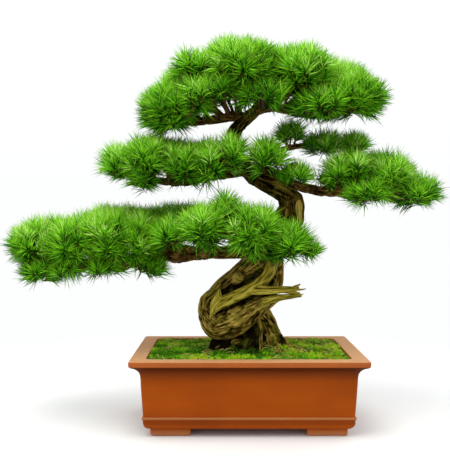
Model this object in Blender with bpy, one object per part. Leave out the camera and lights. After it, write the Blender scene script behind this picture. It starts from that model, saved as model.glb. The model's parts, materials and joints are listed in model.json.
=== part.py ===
"""A curved pine bonsai in a rectangular footed stoneware tray.

Metres, +Z up, +X to the right and -Y towards the viewer. The tray stands on
the plane z = 0. The tree rises from the middle of the tray, turns once round
on itself low down, leans right and then back left to its crown. Every branch
carries its own flat pad of needles.
"""

import math

import bmesh
import bpy
from mathutils import Vector

# Tray: outer size, wall heights and the profile of its outside.
RIM_HALF = (0.225, 0.150)
POT_HEIGHT = 0.148
FOOT_HEIGHT = 0.0144
FLOOR_TOP = 0.0264
LIP_WIDTH = 0.030
LIP_ROUND = 0.0016
RIM_BAND = 0.0115
BELLY_INSET = 0.0205
WAIST_INSET = 0.0245
RIB_LOW = 0.033
RIB_HIGH = 0.038
RIB_PROUD = 0.002
OUTER_CORNER = 0.007
INNER_CORNER = 0.014
CORNER_STEPS = 3
WALL_TAPER = 0.006
FOOT_X = (0.110, 0.188)
FOOT_Y = (0.066, 0.113)
FOOT_TAPER = 0.003
DRAIN_X = 0.085
DRAIN_RADIUS = 0.011

# Drainage inside the tray.
SCREEN_SIZE = 0.044
SCREEN_THICK = 0.0012
SCREEN_PITCH = 0.010
SCREEN_HOLE = 0.0075
SCREEN_CELLS = 4
WIRE_RADIUS = 0.0008
WIRE_HALF_SPAN = 0.0075
WIRE_Y = SCREEN_PITCH / 2
WIRE_TAIL = 0.010
GRAVEL_TOP = 0.044
POCKET_HEIGHT = 0.0065
POCKET_MARGIN = 0.0015

# Ground: soil fills the tray, moss covers it and rises round the trunk.
SOIL_EDGE_Z = 0.1365
MOSS_EDGE_THICK = 0.0065
MOUND_HEIGHT = 0.0085
MOUND_CENTRE = (0.030, 0.010)
MOUND_SPREAD = 0.070
MOSS_HUMP = 0.0022

CLEARANCE = 0.0003
GROW = 0.00045

# Sections round each kind of wood.
TRUNK_SIDES = 12
BRANCH_SIDES = 8
ROOT_SIDES = 7
TWIG_SIDES = 6

# Each stretch of wood is a list of (x, y, z, radius) along its middle.
SWEEP = [
    (0.078, -0.040, 0.257, 0.0035),
    (0.058, -0.036, 0.254, 0.0075),
    (0.034, -0.030, 0.241, 0.0141),
    (0.009, -0.025, 0.224, 0.0213),
    (-0.017, -0.023, 0.209, 0.0265),
    (-0.042, -0.022, 0.198, 0.0275),
    (-0.065, -0.021, 0.194, 0.0250),
    (-0.080, -0.019, 0.208, 0.0180),
    (-0.089, -0.017, 0.229, 0.0112),
    (-0.086, -0.016, 0.249, 0.0100),
    (-0.070, -0.014, 0.264, 0.0100),
    (-0.052, -0.012, 0.281, 0.0104),
    (-0.030, -0.010, 0.296, 0.0118),
    (-0.009, -0.006, 0.310, 0.0154),
    (0.012, 0.000, 0.323, 0.0232),
    (0.029, 0.006, 0.337, 0.0323),
    (0.042, 0.008, 0.357, 0.0345),
    (0.060, 0.010, 0.386, 0.0315),
    (0.079, 0.010, 0.411, 0.0270),
    (0.089, 0.012, 0.437, 0.0230),
    (0.081, 0.012, 0.461, 0.0215),
    (0.055, 0.010, 0.480, 0.0200),
    (0.018, 0.005, 0.500, 0.0180),
    (-0.014, 0.002, 0.527, 0.0160),
    (-0.031, 0.000, 0.560, 0.0150),
    (-0.026, 0.000, 0.590, 0.0140),
    (-0.003, 0.000, 0.616, 0.0130),
    (0.022, 0.002, 0.642, 0.0110),
    (0.022, 0.005, 0.690, 0.0070),
]
STUMP = [
    (0.054, 0.000, 0.098, 0.0300),
    (0.054, 0.000, 0.134, 0.0310),
    (0.053, 0.000, 0.160, 0.0245),
    (0.049, 0.000, 0.180, 0.0190),
    (0.039, -0.004, 0.206, 0.0168),
    (0.028, -0.012, 0.224, 0.0158),
    (0.018, -0.018, 0.236, 0.0120),
]
STRIP = [
    (0.058, 0.002, 0.362, 0.0125),
    (0.062, -0.004, 0.325, 0.0113),
    (0.063, -0.008, 0.303, 0.0108),
    (0.062, -0.014, 0.283, 0.0102),
    (0.057, -0.018, 0.268, 0.0092),
]
HEARTWOOD = [
    (0.044, 0.012, 0.350, 0.0270),
    (0.037, 0.014, 0.319, 0.0260),
    (0.020, 0.012, 0.291, 0.0247),
    (-0.006, 0.010, 0.268, 0.0275),
    (-0.034, 0.008, 0.250, 0.0270),
    (-0.058, 0.002, 0.236, 0.0240),
    (-0.068, -0.004, 0.220, 0.0170),
]
HEART_SPUR = [
    (0.047, 0.014, 0.322, 0.0208),
    (0.047, 0.012, 0.291, 0.0208),
    (0.040, 0.002, 0.262, 0.0210),
    (0.016, -0.004, 0.248, 0.0225),
    (-0.010, -0.006, 0.238, 0.0190),
]
SPLIT_END = [
    (0.030, -0.038, 0.247, 0.0095),
    (0.062, -0.045, 0.256, 0.0068),
    (0.087, -0.049, 0.259, 0.0050),
    (0.106, -0.051, 0.260, 0.0022),
]
KNOB = [
    (-0.028, -0.008, 0.290, 0.0118),
    (-0.021, -0.022, 0.293, 0.0127),
    (-0.018, -0.031, 0.295, 0.0110),
]
ROOTS = {
    "right": [
        (0.058, -0.002, 0.170, 0.0140),
        (0.076, -0.012, 0.155, 0.0105),
        (0.098, -0.022, 0.148, 0.0070),
        (0.120, -0.030, 0.137, 0.0050),
    ],
    "front": [
        (0.052, -0.008, 0.170, 0.0130),
        (0.054, -0.030, 0.153, 0.0095),
        (0.062, -0.054, 0.146, 0.0060),
        (0.070, -0.072, 0.136, 0.0045),
    ],
    "left": [
        (0.046, -0.002, 0.168, 0.0170),
        (0.016, -0.006, 0.160, 0.0150),
        (-0.016, -0.008, 0.156, 0.0140),
        (-0.048, -0.010, 0.151, 0.0110),
        (-0.076, -0.014, 0.138, 0.0060),
    ],
    "back": [
        (0.052, 0.012, 0.170, 0.0130),
        (0.046, 0.040, 0.154, 0.0095),
        (0.036, 0.068, 0.147, 0.0065),
        (0.028, 0.088, 0.136, 0.0045),
    ],
    "aerial": [
        (0.018, -0.028, 0.222, 0.0042),
        (0.025, -0.040, 0.200, 0.0034),
        (0.026, -0.046, 0.172, 0.0030),
        (0.027, -0.050, 0.136, 0.0036),
    ],
}
DEADWOOD = {
    "strip": [
        (0.047, -0.028, 0.346, 0.0075),
        (0.048, -0.032, 0.332, 0.0106),
        (0.046, -0.035, 0.315, 0.0116),
        (0.036, -0.037, 0.296, 0.0116),
        (0.017, -0.039, 0.280, 0.0120),
        (-0.007, -0.041, 0.267, 0.0120),
        (-0.032, -0.042, 0.255, 0.0122),
        (-0.052, -0.043, 0.245, 0.0112),
        (-0.064, -0.043, 0.234, 0.0075),
        (-0.070, -0.043, 0.221, 0.0024),
    ],
    "jin": [
        (0.008, -0.041, 0.272, 0.0110),
        (0.028, -0.046, 0.271, 0.0095),
        (0.048, -0.050, 0.271, 0.0080),
        (0.070, -0.054, 0.273, 0.0067),
        (0.088, -0.056, 0.275, 0.0046),
        (0.100, -0.057, 0.278, 0.0024),
    ],
    "prong": [
        (0.067, -0.053, 0.271, 0.0050),
        (0.087, -0.055, 0.268, 0.0038),
        (0.103, -0.056, 0.265, 0.0018),
    ],
    "spur": [
        (-0.050, -0.042, 0.246, 0.0085),
        (-0.057, -0.041, 0.258, 0.0060),
        (-0.057, -0.040, 0.272, 0.0020),
    ],
}
BRANCHES = {
    "lower_left_branch": [
        [
            (0.020, 0.004, 0.338, 0.013),
            (-0.018, -0.002, 0.344, 0.0135),
            (-0.060, -0.006, 0.344, 0.0130),
            (-0.105, -0.006, 0.342, 0.0145),
            (-0.140, -0.004, 0.342, 0.0195),
            (-0.172, -0.002, 0.343, 0.0180),
            (-0.206, 0.002, 0.332, 0.0130),
            (-0.250, 0.002, 0.320, 0.0110),
            (-0.302, 0.000, 0.314, 0.0090),
            (-0.352, 0.000, 0.318, 0.0065),
            (-0.402, 0.000, 0.332, 0.0040),
        ],
    ],
    "lower_front_branch": [
        [
            (0.050, 0.000, 0.386, 0.012),
            (0.030, -0.040, 0.392, 0.0105),
            (-0.006, -0.070, 0.392, 0.0090),
            (-0.056, -0.084, 0.388, 0.0070),
            (-0.108, -0.086, 0.386, 0.0045),
        ],
        [
            (0.026, -0.044, 0.392, 0.0085),
            (0.056, -0.066, 0.386, 0.0070),
            (0.092, -0.074, 0.376, 0.0045),
        ],
    ],
    "lower_back_branch": [
        [
            (0.060, 0.016, 0.392, 0.011),
            (0.044, 0.054, 0.398, 0.0090),
            (0.010, 0.088, 0.398, 0.0075),
            (-0.046, 0.108, 0.396, 0.0060),
            (-0.096, 0.116, 0.400, 0.0040),
        ],
    ],
    "middle_left_branch": [
        [
            (0.002, 0.004, 0.512, 0.011),
            (-0.040, 0.002, 0.506, 0.0105),
            (-0.086, 0.000, 0.498, 0.0100),
            (-0.130, 0.000, 0.488, 0.0090),
            (-0.176, 0.002, 0.490, 0.0070),
            (-0.222, 0.002, 0.502, 0.0050),
            (-0.262, 0.000, 0.512, 0.0035),
        ],
    ],
    "middle_front_branch": [
        [
            (-0.016, 0.000, 0.532, 0.0080),
            (-0.024, -0.034, 0.530, 0.0065),
            (-0.044, -0.056, 0.526, 0.0050),
            (-0.076, -0.064, 0.526, 0.0035),
        ],
        [
            (-0.024, -0.036, 0.530, 0.0050),
            (-0.004, -0.054, 0.528, 0.0042),
            (0.012, -0.060, 0.530, 0.0032),
        ],
    ],
    "middle_right_branch": [
        [
            (0.020, 0.004, 0.503, 0.0110),
            (0.044, 0.000, 0.509, 0.0100),
            (0.072, -0.004, 0.494, 0.0095),
            (0.108, -0.006, 0.478, 0.0095),
            (0.150, -0.006, 0.469, 0.0105),
            (0.188, -0.004, 0.470, 0.0130),
            (0.214, 0.000, 0.462, 0.0105),
            (0.254, 0.002, 0.458, 0.0085),
            (0.300, 0.002, 0.462, 0.0065),
            (0.346, 0.000, 0.476, 0.0040),
        ],
    ],
    "right_front_branch": [
        [
            (0.068, -0.004, 0.496, 0.0055),
            (0.080, -0.024, 0.512, 0.0045),
            (0.092, -0.034, 0.524, 0.0030),
        ],
    ],
    "middle_back_branch": [
        [
            (0.012, 0.006, 0.506, 0.0085),
            (0.034, 0.036, 0.534, 0.0075),
            (0.070, 0.066, 0.558, 0.0065),
            (0.106, 0.080, 0.568, 0.0060),
            (0.148, 0.088, 0.574, 0.0050),
            (0.196, 0.092, 0.580, 0.0035),
        ],
    ],
    "crown_left_branch": [
        [
            (0.004, 0.000, 0.620, 0.0095),
            (-0.034, -0.002, 0.620, 0.0090),
            (-0.076, -0.004, 0.613, 0.0085),
            (-0.114, -0.004, 0.610, 0.0075),
            (-0.144, 0.000, 0.622, 0.0060),
            (-0.178, 0.002, 0.634, 0.0040),
        ],
    ],
    "crown_right_branch": [
        [
            (0.016, 0.002, 0.632, 0.0100),
            (0.048, 0.000, 0.640, 0.0095),
            (0.078, -0.002, 0.634, 0.0085),
            (0.108, -0.002, 0.626, 0.0080),
            (0.146, 0.000, 0.624, 0.0070),
            (0.190, 0.002, 0.636, 0.0060),
            (0.226, 0.004, 0.652, 0.0040),
        ],
    ],
}

# Each pad of needles: its middle, the height of its flat underside, and the
# round masses it is made of as (x, y, z, half x, half y, half z).
PADS = {
    "crown_top_foliage": (
        (0.000, -0.005, 0.705),
        0.644,
        [
            (-0.106, -0.020, 0.723, 0.053, 0.085, 0.043),
            (-0.017, -0.035, 0.720, 0.086, 0.100, 0.066),
            (0.007, 0.070, 0.728, 0.108, 0.090, 0.054),
            (0.105, -0.020, 0.709, 0.077, 0.100, 0.063),
            (0.026, -0.055, 0.668, 0.071, 0.070, 0.036),
            (-0.053, -0.060, 0.679, 0.053, 0.062, 0.040),
        ],
    ),
    "crown_left_foliage": (
        (-0.152, 0.004, 0.640),
        0.594,
        [
            (-0.154, -0.030, 0.644, 0.067, 0.080, 0.054),
            (-0.180, -0.010, 0.631, 0.043, 0.075, 0.041),
            (-0.133, 0.060, 0.685, 0.073, 0.075, 0.051),
            (-0.097, -0.040, 0.671, 0.054, 0.075, 0.042),
        ],
    ),
    "crown_right_foliage": (
        (0.172, 0.004, 0.668),
        0.620,
        [
            (0.209, -0.010, 0.668, 0.080, 0.090, 0.053),
            (0.139, -0.045, 0.652, 0.066, 0.070, 0.038),
            (0.185, 0.075, 0.713, 0.091, 0.080, 0.048),
        ],
    ),
    "middle_left_foliage": (
        (-0.178, 0.010, 0.530),
        0.478,
        [
            (-0.258, -0.005, 0.537, 0.045, 0.075, 0.039),
            (-0.198, -0.030, 0.541, 0.056, 0.085, 0.054),
            (-0.207, -0.045, 0.508, 0.040, 0.060, 0.034),
            (-0.132, -0.020, 0.532, 0.061, 0.085, 0.047),
            (-0.174, 0.070, 0.557, 0.078, 0.080, 0.043),
            (-0.084, 0.070, 0.553, 0.065, 0.075, 0.039),
        ],
    ),
    "middle_front_foliage": (
        (-0.036, -0.054, 0.532),
        0.492,
        [
            (-0.075, -0.050, 0.534, 0.048, 0.058, 0.046),
            (-0.031, -0.062, 0.548, 0.039, 0.050, 0.049),
            (0.034, -0.052, 0.545, 0.048, 0.050, 0.040),
        ],
    ),
    "middle_back_foliage": (
        (0.158, 0.094, 0.594),
        0.562,
        [
            (0.095, 0.085, 0.613, 0.041, 0.052, 0.028),
            (0.168, 0.095, 0.590, 0.048, 0.058, 0.029),
            (0.235, 0.090, 0.583, 0.046, 0.055, 0.028),
        ],
    ),
    "right_front_foliage": (
        (0.096, -0.034, 0.512),
        0.490,
        [
            (0.095, -0.038, 0.511, 0.044, 0.048, 0.028),
        ],
    ),
    "middle_right_foliage": (
        (0.262, 0.006, 0.494),
        0.444,
        [
            (0.211, -0.020, 0.520, 0.043, 0.075, 0.051),
            (0.278, -0.020, 0.508, 0.049, 0.085, 0.053),
            (0.337, -0.005, 0.482, 0.060, 0.080, 0.037),
            (0.166, -0.020, 0.500, 0.024, 0.045, 0.022),
            (0.277, 0.070, 0.522, 0.086, 0.078, 0.043),
            (0.237, -0.050, 0.482, 0.056, 0.060, 0.034),
            (0.179, -0.030, 0.517, 0.040, 0.055, 0.040),
        ],
    ),
    "lower_left_foliage": (
        (-0.268, 0.000, 0.372),
        0.304,
        [
            (-0.341, -0.040, 0.374, 0.064, 0.095, 0.060),
            (-0.269, -0.030, 0.382, 0.069, 0.100, 0.063),
            (-0.217, -0.010, 0.377, 0.057, 0.090, 0.068),
            (-0.354, -0.040, 0.324, 0.048, 0.070, 0.030),
            (-0.274, 0.070, 0.412, 0.095, 0.085, 0.045),
            (-0.289, -0.030, 0.334, 0.056, 0.075, 0.028),
            (-0.203, -0.020, 0.337, 0.045, 0.065, 0.028),
        ],
    ),
    "left_tip_foliage": (
        (-0.416, 0.000, 0.352),
        0.286,
        [
            (-0.427, -0.020, 0.370, 0.059, 0.080, 0.053),
            (-0.410, -0.030, 0.325, 0.050, 0.065, 0.032),
            (-0.401, 0.060, 0.391, 0.073, 0.080, 0.039),
        ],
    ),
    "lower_front_foliage": (
        (-0.018, -0.076, 0.396),
        0.342,
        [
            (-0.152, -0.060, 0.394, 0.047, 0.075, 0.038),
            (-0.086, -0.078, 0.406, 0.057, 0.080, 0.049),
            (-0.045, -0.060, 0.438, 0.034, 0.060, 0.040),
            (0.005, -0.085, 0.399, 0.064, 0.078, 0.056),
            (0.080, -0.075, 0.377, 0.051, 0.070, 0.043),
            (0.118, -0.070, 0.359, 0.031, 0.050, 0.024),
            (0.045, -0.078, 0.356, 0.058, 0.055, 0.023),
        ],
    ),
    "lower_back_foliage": (
        (-0.090, 0.112, 0.416),
        0.370,
        [
            (-0.147, 0.110, 0.419, 0.089, 0.062, 0.044),
            (-0.040, 0.112, 0.415, 0.071, 0.058, 0.042),
        ],
    ),
}
PAD_SEGMENTS = 18
PAD_RINGS = 8
PAD_SQUASH = 0.16
PAD_GAP = 0.0012
PAD_TUFT = 0.03

COLOURS = {
    "pot": (0.376, 0.112, 0.012, 1.0),
    "screen": (0.020, 0.022, 0.020, 1.0),
    "clip": (0.420, 0.420, 0.430, 1.0),
    "gravel": (0.310, 0.240, 0.160, 1.0),
    "soil": (0.060, 0.036, 0.018, 1.0),
    "moss": (0.090, 0.200, 0.010, 1.0),
    "trunk": (0.110, 0.070, 0.022, 1.0),
    "deadwood": (0.380, 0.310, 0.060, 1.0),
    "branch": (0.050, 0.026, 0.008, 1.0),
    "foliage": (0.070, 0.250, 0.014, 1.0),
}
ROUGHNESS = {
    "pot": 0.55,
    "screen": 0.50,
    "clip": 0.35,
    "gravel": 0.90,
    "soil": 0.95,
    "moss": 0.90,
    "trunk": 0.85,
    "deadwood": 0.60,
    "branch": 0.85,
    "foliage": 0.55,
}
METALLIC = {"clip": 1.0}


def material(kind: str) -> bpy.types.Material:
    """Return the Principled material of one kind of piece."""
    mat = bpy.data.materials.get(kind)
    if mat:
        return mat
    mat = bpy.data.materials.new(kind)
    mat.use_nodes = True
    shader = mat.node_tree.nodes["Principled BSDF"]
    shader.inputs["Base Color"].default_value = COLOURS[kind]
    shader.inputs["Roughness"].default_value = ROUGHNESS[kind]
    shader.inputs["Metallic"].default_value = METALLIC.get(kind, 0.0)
    mat.diffuse_color = COLOURS[kind]
    return mat


def place(name: str, bm: bmesh.types.BMesh, root, kind: str | None, smooth: bool = True):
    """Turn a bmesh into a parented object; with no kind it is a cutter."""
    bmesh.ops.recalc_face_normals(bm, faces=bm.faces[:])
    mesh = bpy.data.meshes.new(name)
    bm.to_mesh(mesh)
    bm.free()
    obj = bpy.data.objects.new(name, mesh)
    bpy.context.scene.collection.objects.link(obj)
    obj.parent = root
    if kind is None:
        obj.hide_render = True
        obj.display_type = "WIRE"
        return obj
    mesh.materials.append(material(kind))
    if smooth:
        mesh.shade_smooth()
        mesh.set_sharp_from_angle(angle=math.radians(40))
    return obj


def boolean(obj, cutter, operation: str) -> None:
    """Add an exact Boolean by another object."""
    mod = obj.modifiers.new(cutter.name, "BOOLEAN")
    mod.operation = operation
    mod.solver = "EXACT"
    mod.object = cutter


def rounded_rectangle(half_x: float, half_y: float, corner: float, z: float) -> list[Vector]:
    """Points round a rectangle with rounded corners, anticlockwise from +X."""
    points = []
    for quarter in range(4):
        sign_x = (1, -1, -1, 1)[quarter]
        sign_y = (1, 1, -1, -1)[quarter]
        middle = (sign_x * (half_x - corner), sign_y * (half_y - corner))
        for step in range(CORNER_STEPS + 1):
            turn = math.radians(90 * (quarter + step / CORNER_STEPS))
            points.append(
                Vector(
                    (
                        middle[0] + corner * math.cos(turn),
                        middle[1] + corner * math.sin(turn),
                        z,
                    )
                )
            )
    return points


def loft(rings: list[list[Vector]]) -> bmesh.types.BMesh:
    """Skin closed rings of equal length one to the next and cap both ends."""
    bm = bmesh.new()
    rows = [[bm.verts.new(point) for point in ring] for ring in rings]
    count = len(rows[0])
    for low, high in zip(rows, rows[1:]):
        for i in range(count):
            j = (i + 1) % count
            bm.faces.new((low[i], low[j], high[j], high[i]))
    bm.faces.new(rows[0][::-1])
    bm.faces.new(rows[-1])
    bmesh.ops.triangulate(bm, faces=bm.faces[:])
    return bm


def tapered_box(low, high, taper: float) -> bmesh.types.BMesh:
    """A box whose underside is drawn in by the taper on all four sides."""
    centre = ((low[0] + high[0]) / 2, (low[1] + high[1]) / 2)
    half = ((high[0] - low[0]) / 2, (high[1] - low[1]) / 2)
    rings = []
    for z, inset in ((low[2], taper), (low[2] + taper, taper * 0.25), (high[2], 0.0)):
        ring = rounded_rectangle(half[0] - inset, half[1] - inset, 0.004, z)
        rings.append([p + Vector((centre[0], centre[1], 0.0)) for p in ring])
    return loft(rings)


def pot_rings() -> list[list[Vector]]:
    """Sections of the tray, up its outside, over the lip and down inside."""
    top = POT_HEIGHT
    band = top - RIM_BAND
    # (height, inset from the rim's outer edge, corner radius)
    outside = [
        (FOOT_HEIGHT, 0.0345, OUTER_CORNER),
        (FOOT_HEIGHT + 0.0030, 0.0285, OUTER_CORNER),
        (FOOT_HEIGHT + 0.0090, 0.0245, OUTER_CORNER),
        (RIB_LOW - 0.0008, WAIST_INSET - 0.0005, OUTER_CORNER),
        (RIB_LOW, WAIST_INSET - RIB_PROUD, OUTER_CORNER),
        (RIB_HIGH, WAIST_INSET - RIB_PROUD, OUTER_CORNER),
        (RIB_HIGH + 0.0008, WAIST_INSET, OUTER_CORNER),
        (0.080, BELLY_INSET + 0.0015, OUTER_CORNER),
        (0.112, BELLY_INSET, OUTER_CORNER),
        (0.122, BELLY_INSET - 0.0010, OUTER_CORNER),
        (0.129, BELLY_INSET - 0.0050, OUTER_CORNER),
        (0.1335, BELLY_INSET - 0.0115, OUTER_CORNER),
        (band - 0.0006, 0.0040, OUTER_CORNER),
        (band, 0.0012, OUTER_CORNER),
        (band + 0.0014, 0.0, OUTER_CORNER),
        (top - 0.0018, 0.0, OUTER_CORNER),
        (top, LIP_ROUND, OUTER_CORNER),
    ]
    inside = [
        (top, LIP_WIDTH - LIP_ROUND, INNER_CORNER),
        (top - LIP_ROUND, LIP_WIDTH, INNER_CORNER),
        (FLOOR_TOP + 0.006, LIP_WIDTH + WALL_TAPER, INNER_CORNER),
        (FLOOR_TOP, LIP_WIDTH + WALL_TAPER + 0.005, INNER_CORNER),
    ]
    return [
        rounded_rectangle(RIM_HALF[0] - inset, RIM_HALF[1] - inset, corner, z)
        for z, inset, corner in outside + inside
    ]


def inner_half(z: float, gap: float) -> tuple[float, float]:
    """Half sizes of the tray's inside at a height, less a gap."""
    top = POT_HEIGHT - LIP_ROUND
    foot = FLOOR_TOP + 0.006
    down = min(1.0, max(0.0, (top - z) / (top - foot)))
    inset = LIP_WIDTH + WALL_TAPER * down + gap
    return RIM_HALF[0] - inset, RIM_HALF[1] - inset


def build_pot(root):
    """The fired tray: shell, four feet and two drain holes."""
    pot = place("pot", loft(pot_rings()), root, "pot")
    for side in (-1, 1):
        for end in (-1, 1):
            xs = sorted((side * FOOT_X[0], side * FOOT_X[1]))
            ys = sorted((end * FOOT_Y[0], end * FOOT_Y[1]))
            low = (xs[0], ys[0], 0.0)
            high = (xs[1], ys[1], FOOT_HEIGHT + 0.004)
            name = f"foot_tool_{side}_{end}"
            boolean(pot, place(name, tapered_box(low, high, FOOT_TAPER), root, None), "UNION")
    for side in (-1, 1):
        bm = bmesh.new()
        bmesh.ops.create_cone(
            bm, cap_ends=True, segments=16, radius1=DRAIN_RADIUS, radius2=DRAIN_RADIUS, depth=0.06
        )
        bmesh.ops.translate(bm, vec=(side * DRAIN_X, 0.0, FLOOR_TOP - 0.01), verts=bm.verts[:])
        boolean(pot, place(f"drain_tool_{side}", bm, root, None), "DIFFERENCE")
    return pot


def build_screen(name: str, x: float, root):
    """A flat square of plastic mesh with a grid of square holes."""
    half = SCREEN_SIZE / 2
    cuts = [-half]
    for cell in range(SCREEN_CELLS):
        middle = (cell - (SCREEN_CELLS - 1) / 2) * SCREEN_PITCH
        cuts += [middle - SCREEN_HOLE / 2, middle + SCREEN_HOLE / 2]
    cuts.append(half)
    low = FLOOR_TOP + CLEARANCE
    bm = bmesh.new()
    grid = [[bm.verts.new((x + cx, cy, low)) for cx in cuts] for cy in cuts]
    for row in range(len(cuts) - 1):
        for col in range(len(cuts) - 1):
            if row % 2 and col % 2:
                continue
            bm.faces.new(
                (grid[row][col], grid[row][col + 1], grid[row + 1][col + 1], grid[row + 1][col])
            )
    made = bmesh.ops.extrude_face_region(bm, geom=bm.faces[:])
    lifted = [item for item in made["geom"] if isinstance(item, bmesh.types.BMVert)]
    bmesh.ops.translate(bm, vec=(0.0, 0.0, SCREEN_THICK), verts=lifted)
    bmesh.ops.triangulate(bm, faces=bm.faces[:])
    return place(name, bm, root, "screen", smooth=False)


def smooth_path(points, steps: int) -> list[tuple[Vector, float]]:
    """Catmull-Rom points and radii along a list of (x, y, z, radius)."""
    out = []
    last = len(points) - 1
    for i in range(last):
        around = [points[max(i - 1, 0)], points[i], points[i + 1], points[min(i + 2, last)]]
        for step in range(steps):
            t = step / steps
            value = []
            for axis in range(4):
                a, b, c, d = (p[axis] for p in around)
                value.append(
                    b
                    + 0.5 * t * (c - a)
                    + t * t * (a - 2.5 * b + 2.0 * c - 0.5 * d)
                    + t * t * t * (1.5 * (b - c) + 0.5 * (d - a))
                )
            out.append((Vector(value[:3]), value[3]))
    out.append((Vector(points[last][:3]), points[last][3]))
    return out


def tube(points, sides: int, steps: int = 2, grow: float = 0.0, flute: float = 0.0):
    """A closed tube along a path, optionally fluted and grown all over."""
    path = smooth_path(points, steps)
    spots = [spot for spot, _ in path]
    radii = [radius + grow for _, radius in path]
    if grow:
        spots[0] = spots[0] - (spots[1] - spots[0]).normalized() * grow
        spots[-1] = spots[-1] + (spots[-1] - spots[-2]).normalized() * grow
    normal = None
    rings = []
    for i, spot in enumerate(spots):
        ahead = (spots[min(i + 1, len(spots) - 1)] - spots[max(i - 1, 0)]).normalized()
        if normal is None:
            guide = Vector((0.0, 1.0, 0.0)) if abs(ahead.y) < 0.9 else Vector((1.0, 0.0, 0.0))
            normal = guide
        normal = (normal - ahead * normal.dot(ahead)).normalized()
        across = ahead.cross(normal)
        ring = []
        for side in range(sides):
            turn = 2.0 * math.pi * side / sides
            bump = 1.0 + flute * math.sin(3.0 * turn + 0.55 * i) + 0.5 * flute * math.cos(
                5.0 * turn - 0.4 * i
            )
            ring.append(spot + (normal * math.cos(turn) + across * math.sin(turn)) * radii[i] * bump)
        rings.append(ring)
    return loft(rings)


def build_clip(name: str, x: float, root):
    """A bent wire that holds a screen down, its ends splayed under the floor."""
    under = FOOT_HEIGHT - CLEARANCE - WIRE_RADIUS
    over = FLOOR_TOP + 2 * CLEARANCE + SCREEN_THICK + WIRE_RADIUS
    side = [
        (WIRE_HALF_SPAN + WIRE_TAIL, under),
        (WIRE_HALF_SPAN + 0.0030, under),
        (WIRE_HALF_SPAN + 0.0010, under + 0.0006),
        (WIRE_HALF_SPAN, under + 0.0030),
        (WIRE_HALF_SPAN, over - 0.0020),
        (WIRE_HALF_SPAN - 0.0008, over - 0.0004),
        (WIRE_HALF_SPAN - 0.0026, over),
    ]
    points = [(x - reach, WIRE_Y, z, WIRE_RADIUS) for reach, z in side]
    points += [(x + reach, WIRE_Y, z, WIRE_RADIUS) for reach, z in side[::-1]]
    return place(name, tube(points, TWIG_SIDES, steps=1), root, "clip")


def build_gravel(root):
    """The coarse layer on the tray's floor, hollowed over the screens."""
    low = FLOOR_TOP + CLEARANCE
    rings = []
    for z in (low, low + 0.006, GRAVEL_TOP):
        extra = 0.005 if z == low else 0.0
        half = inner_half(z, CLEARANCE + extra)
        rings.append(rounded_rectangle(half[0], half[1], INNER_CORNER, z))
    gravel = place("drainage_gravel", loft(rings), root, "gravel")
    for side in (-1, 1):
        reach = SCREEN_SIZE / 2 + POCKET_MARGIN
        low_corner = (side * DRAIN_X - reach, -reach, FLOOR_TOP - 0.004)
        high_corner = (side * DRAIN_X + reach, reach, FLOOR_TOP + POCKET_HEIGHT)
        tool = place(f"pocket_tool_{side}", tapered_box(low_corner, high_corner, 0.0), root, None)
        boolean(gravel, tool, "DIFFERENCE")
    return gravel


def ground(x: float, y: float) -> float:
    """Height of the soil's surface."""
    dx = (x - MOUND_CENTRE[0]) / MOUND_SPREAD
    dy = (y - MOUND_CENTRE[1]) / MOUND_SPREAD
    return SOIL_EDGE_Z + MOUND_HEIGHT * math.exp(-dx * dx - dy * dy)


def moss_top(x: float, y: float, edge: float) -> float:
    """Height of the moss: cushions that thin out towards the tray's edge."""
    hump = math.sin(62.0 * x + 1.1) * math.cos(71.0 * y - 0.6) + 0.6 * math.sin(110.0 * (x + y))
    return ground(x, y) + MOSS_EDGE_THICK + (MOSS_HUMP * hump + 0.003) * edge


def sheet(low, high, gap_low: float, gap_high: float, shares) -> bmesh.types.BMesh:
    """A filling of the tray between two surfaces, as rings from its middle out.

    low and high give the two surfaces' heights from (x, y, edge), where edge
    falls from 1 in the middle to 0 at the tray's wall.
    """
    bm = bmesh.new()
    layers = []
    for surface, gap in ((low, gap_low), (high, gap_high)):
        rows = []
        for share in shares:
            row = []
            half = inner_half(surface(0.15, 0.05, 0.0), gap)
            for point in rounded_rectangle(half[0], half[1], INNER_CORNER, 0.0):
                x = point.x * share
                y = point.y * share
                row.append(bm.verts.new((x, y, surface(x, y, 1.0 - share**4))))
            rows.append(row)
        hub = bm.verts.new((0.0, 0.0, surface(0.0, 0.0, 1.0)))
        layers.append((hub, rows))
    count = len(layers[0][1][0])
    for hub, rows in layers:
        for i in range(count):
            j = (i + 1) % count
            bm.faces.new((hub, rows[0][i], rows[0][j]))
            for inner, outer in zip(rows, rows[1:]):
                bm.faces.new((inner[i], outer[i], outer[j], inner[j]))
    below = layers[0][1][-1]
    above = layers[1][1][-1]
    for i in range(count):
        j = (i + 1) % count
        bm.faces.new((below[i], below[j], above[j], above[i]))
    bmesh.ops.triangulate(bm, faces=bm.faces[:])
    return bm


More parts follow.
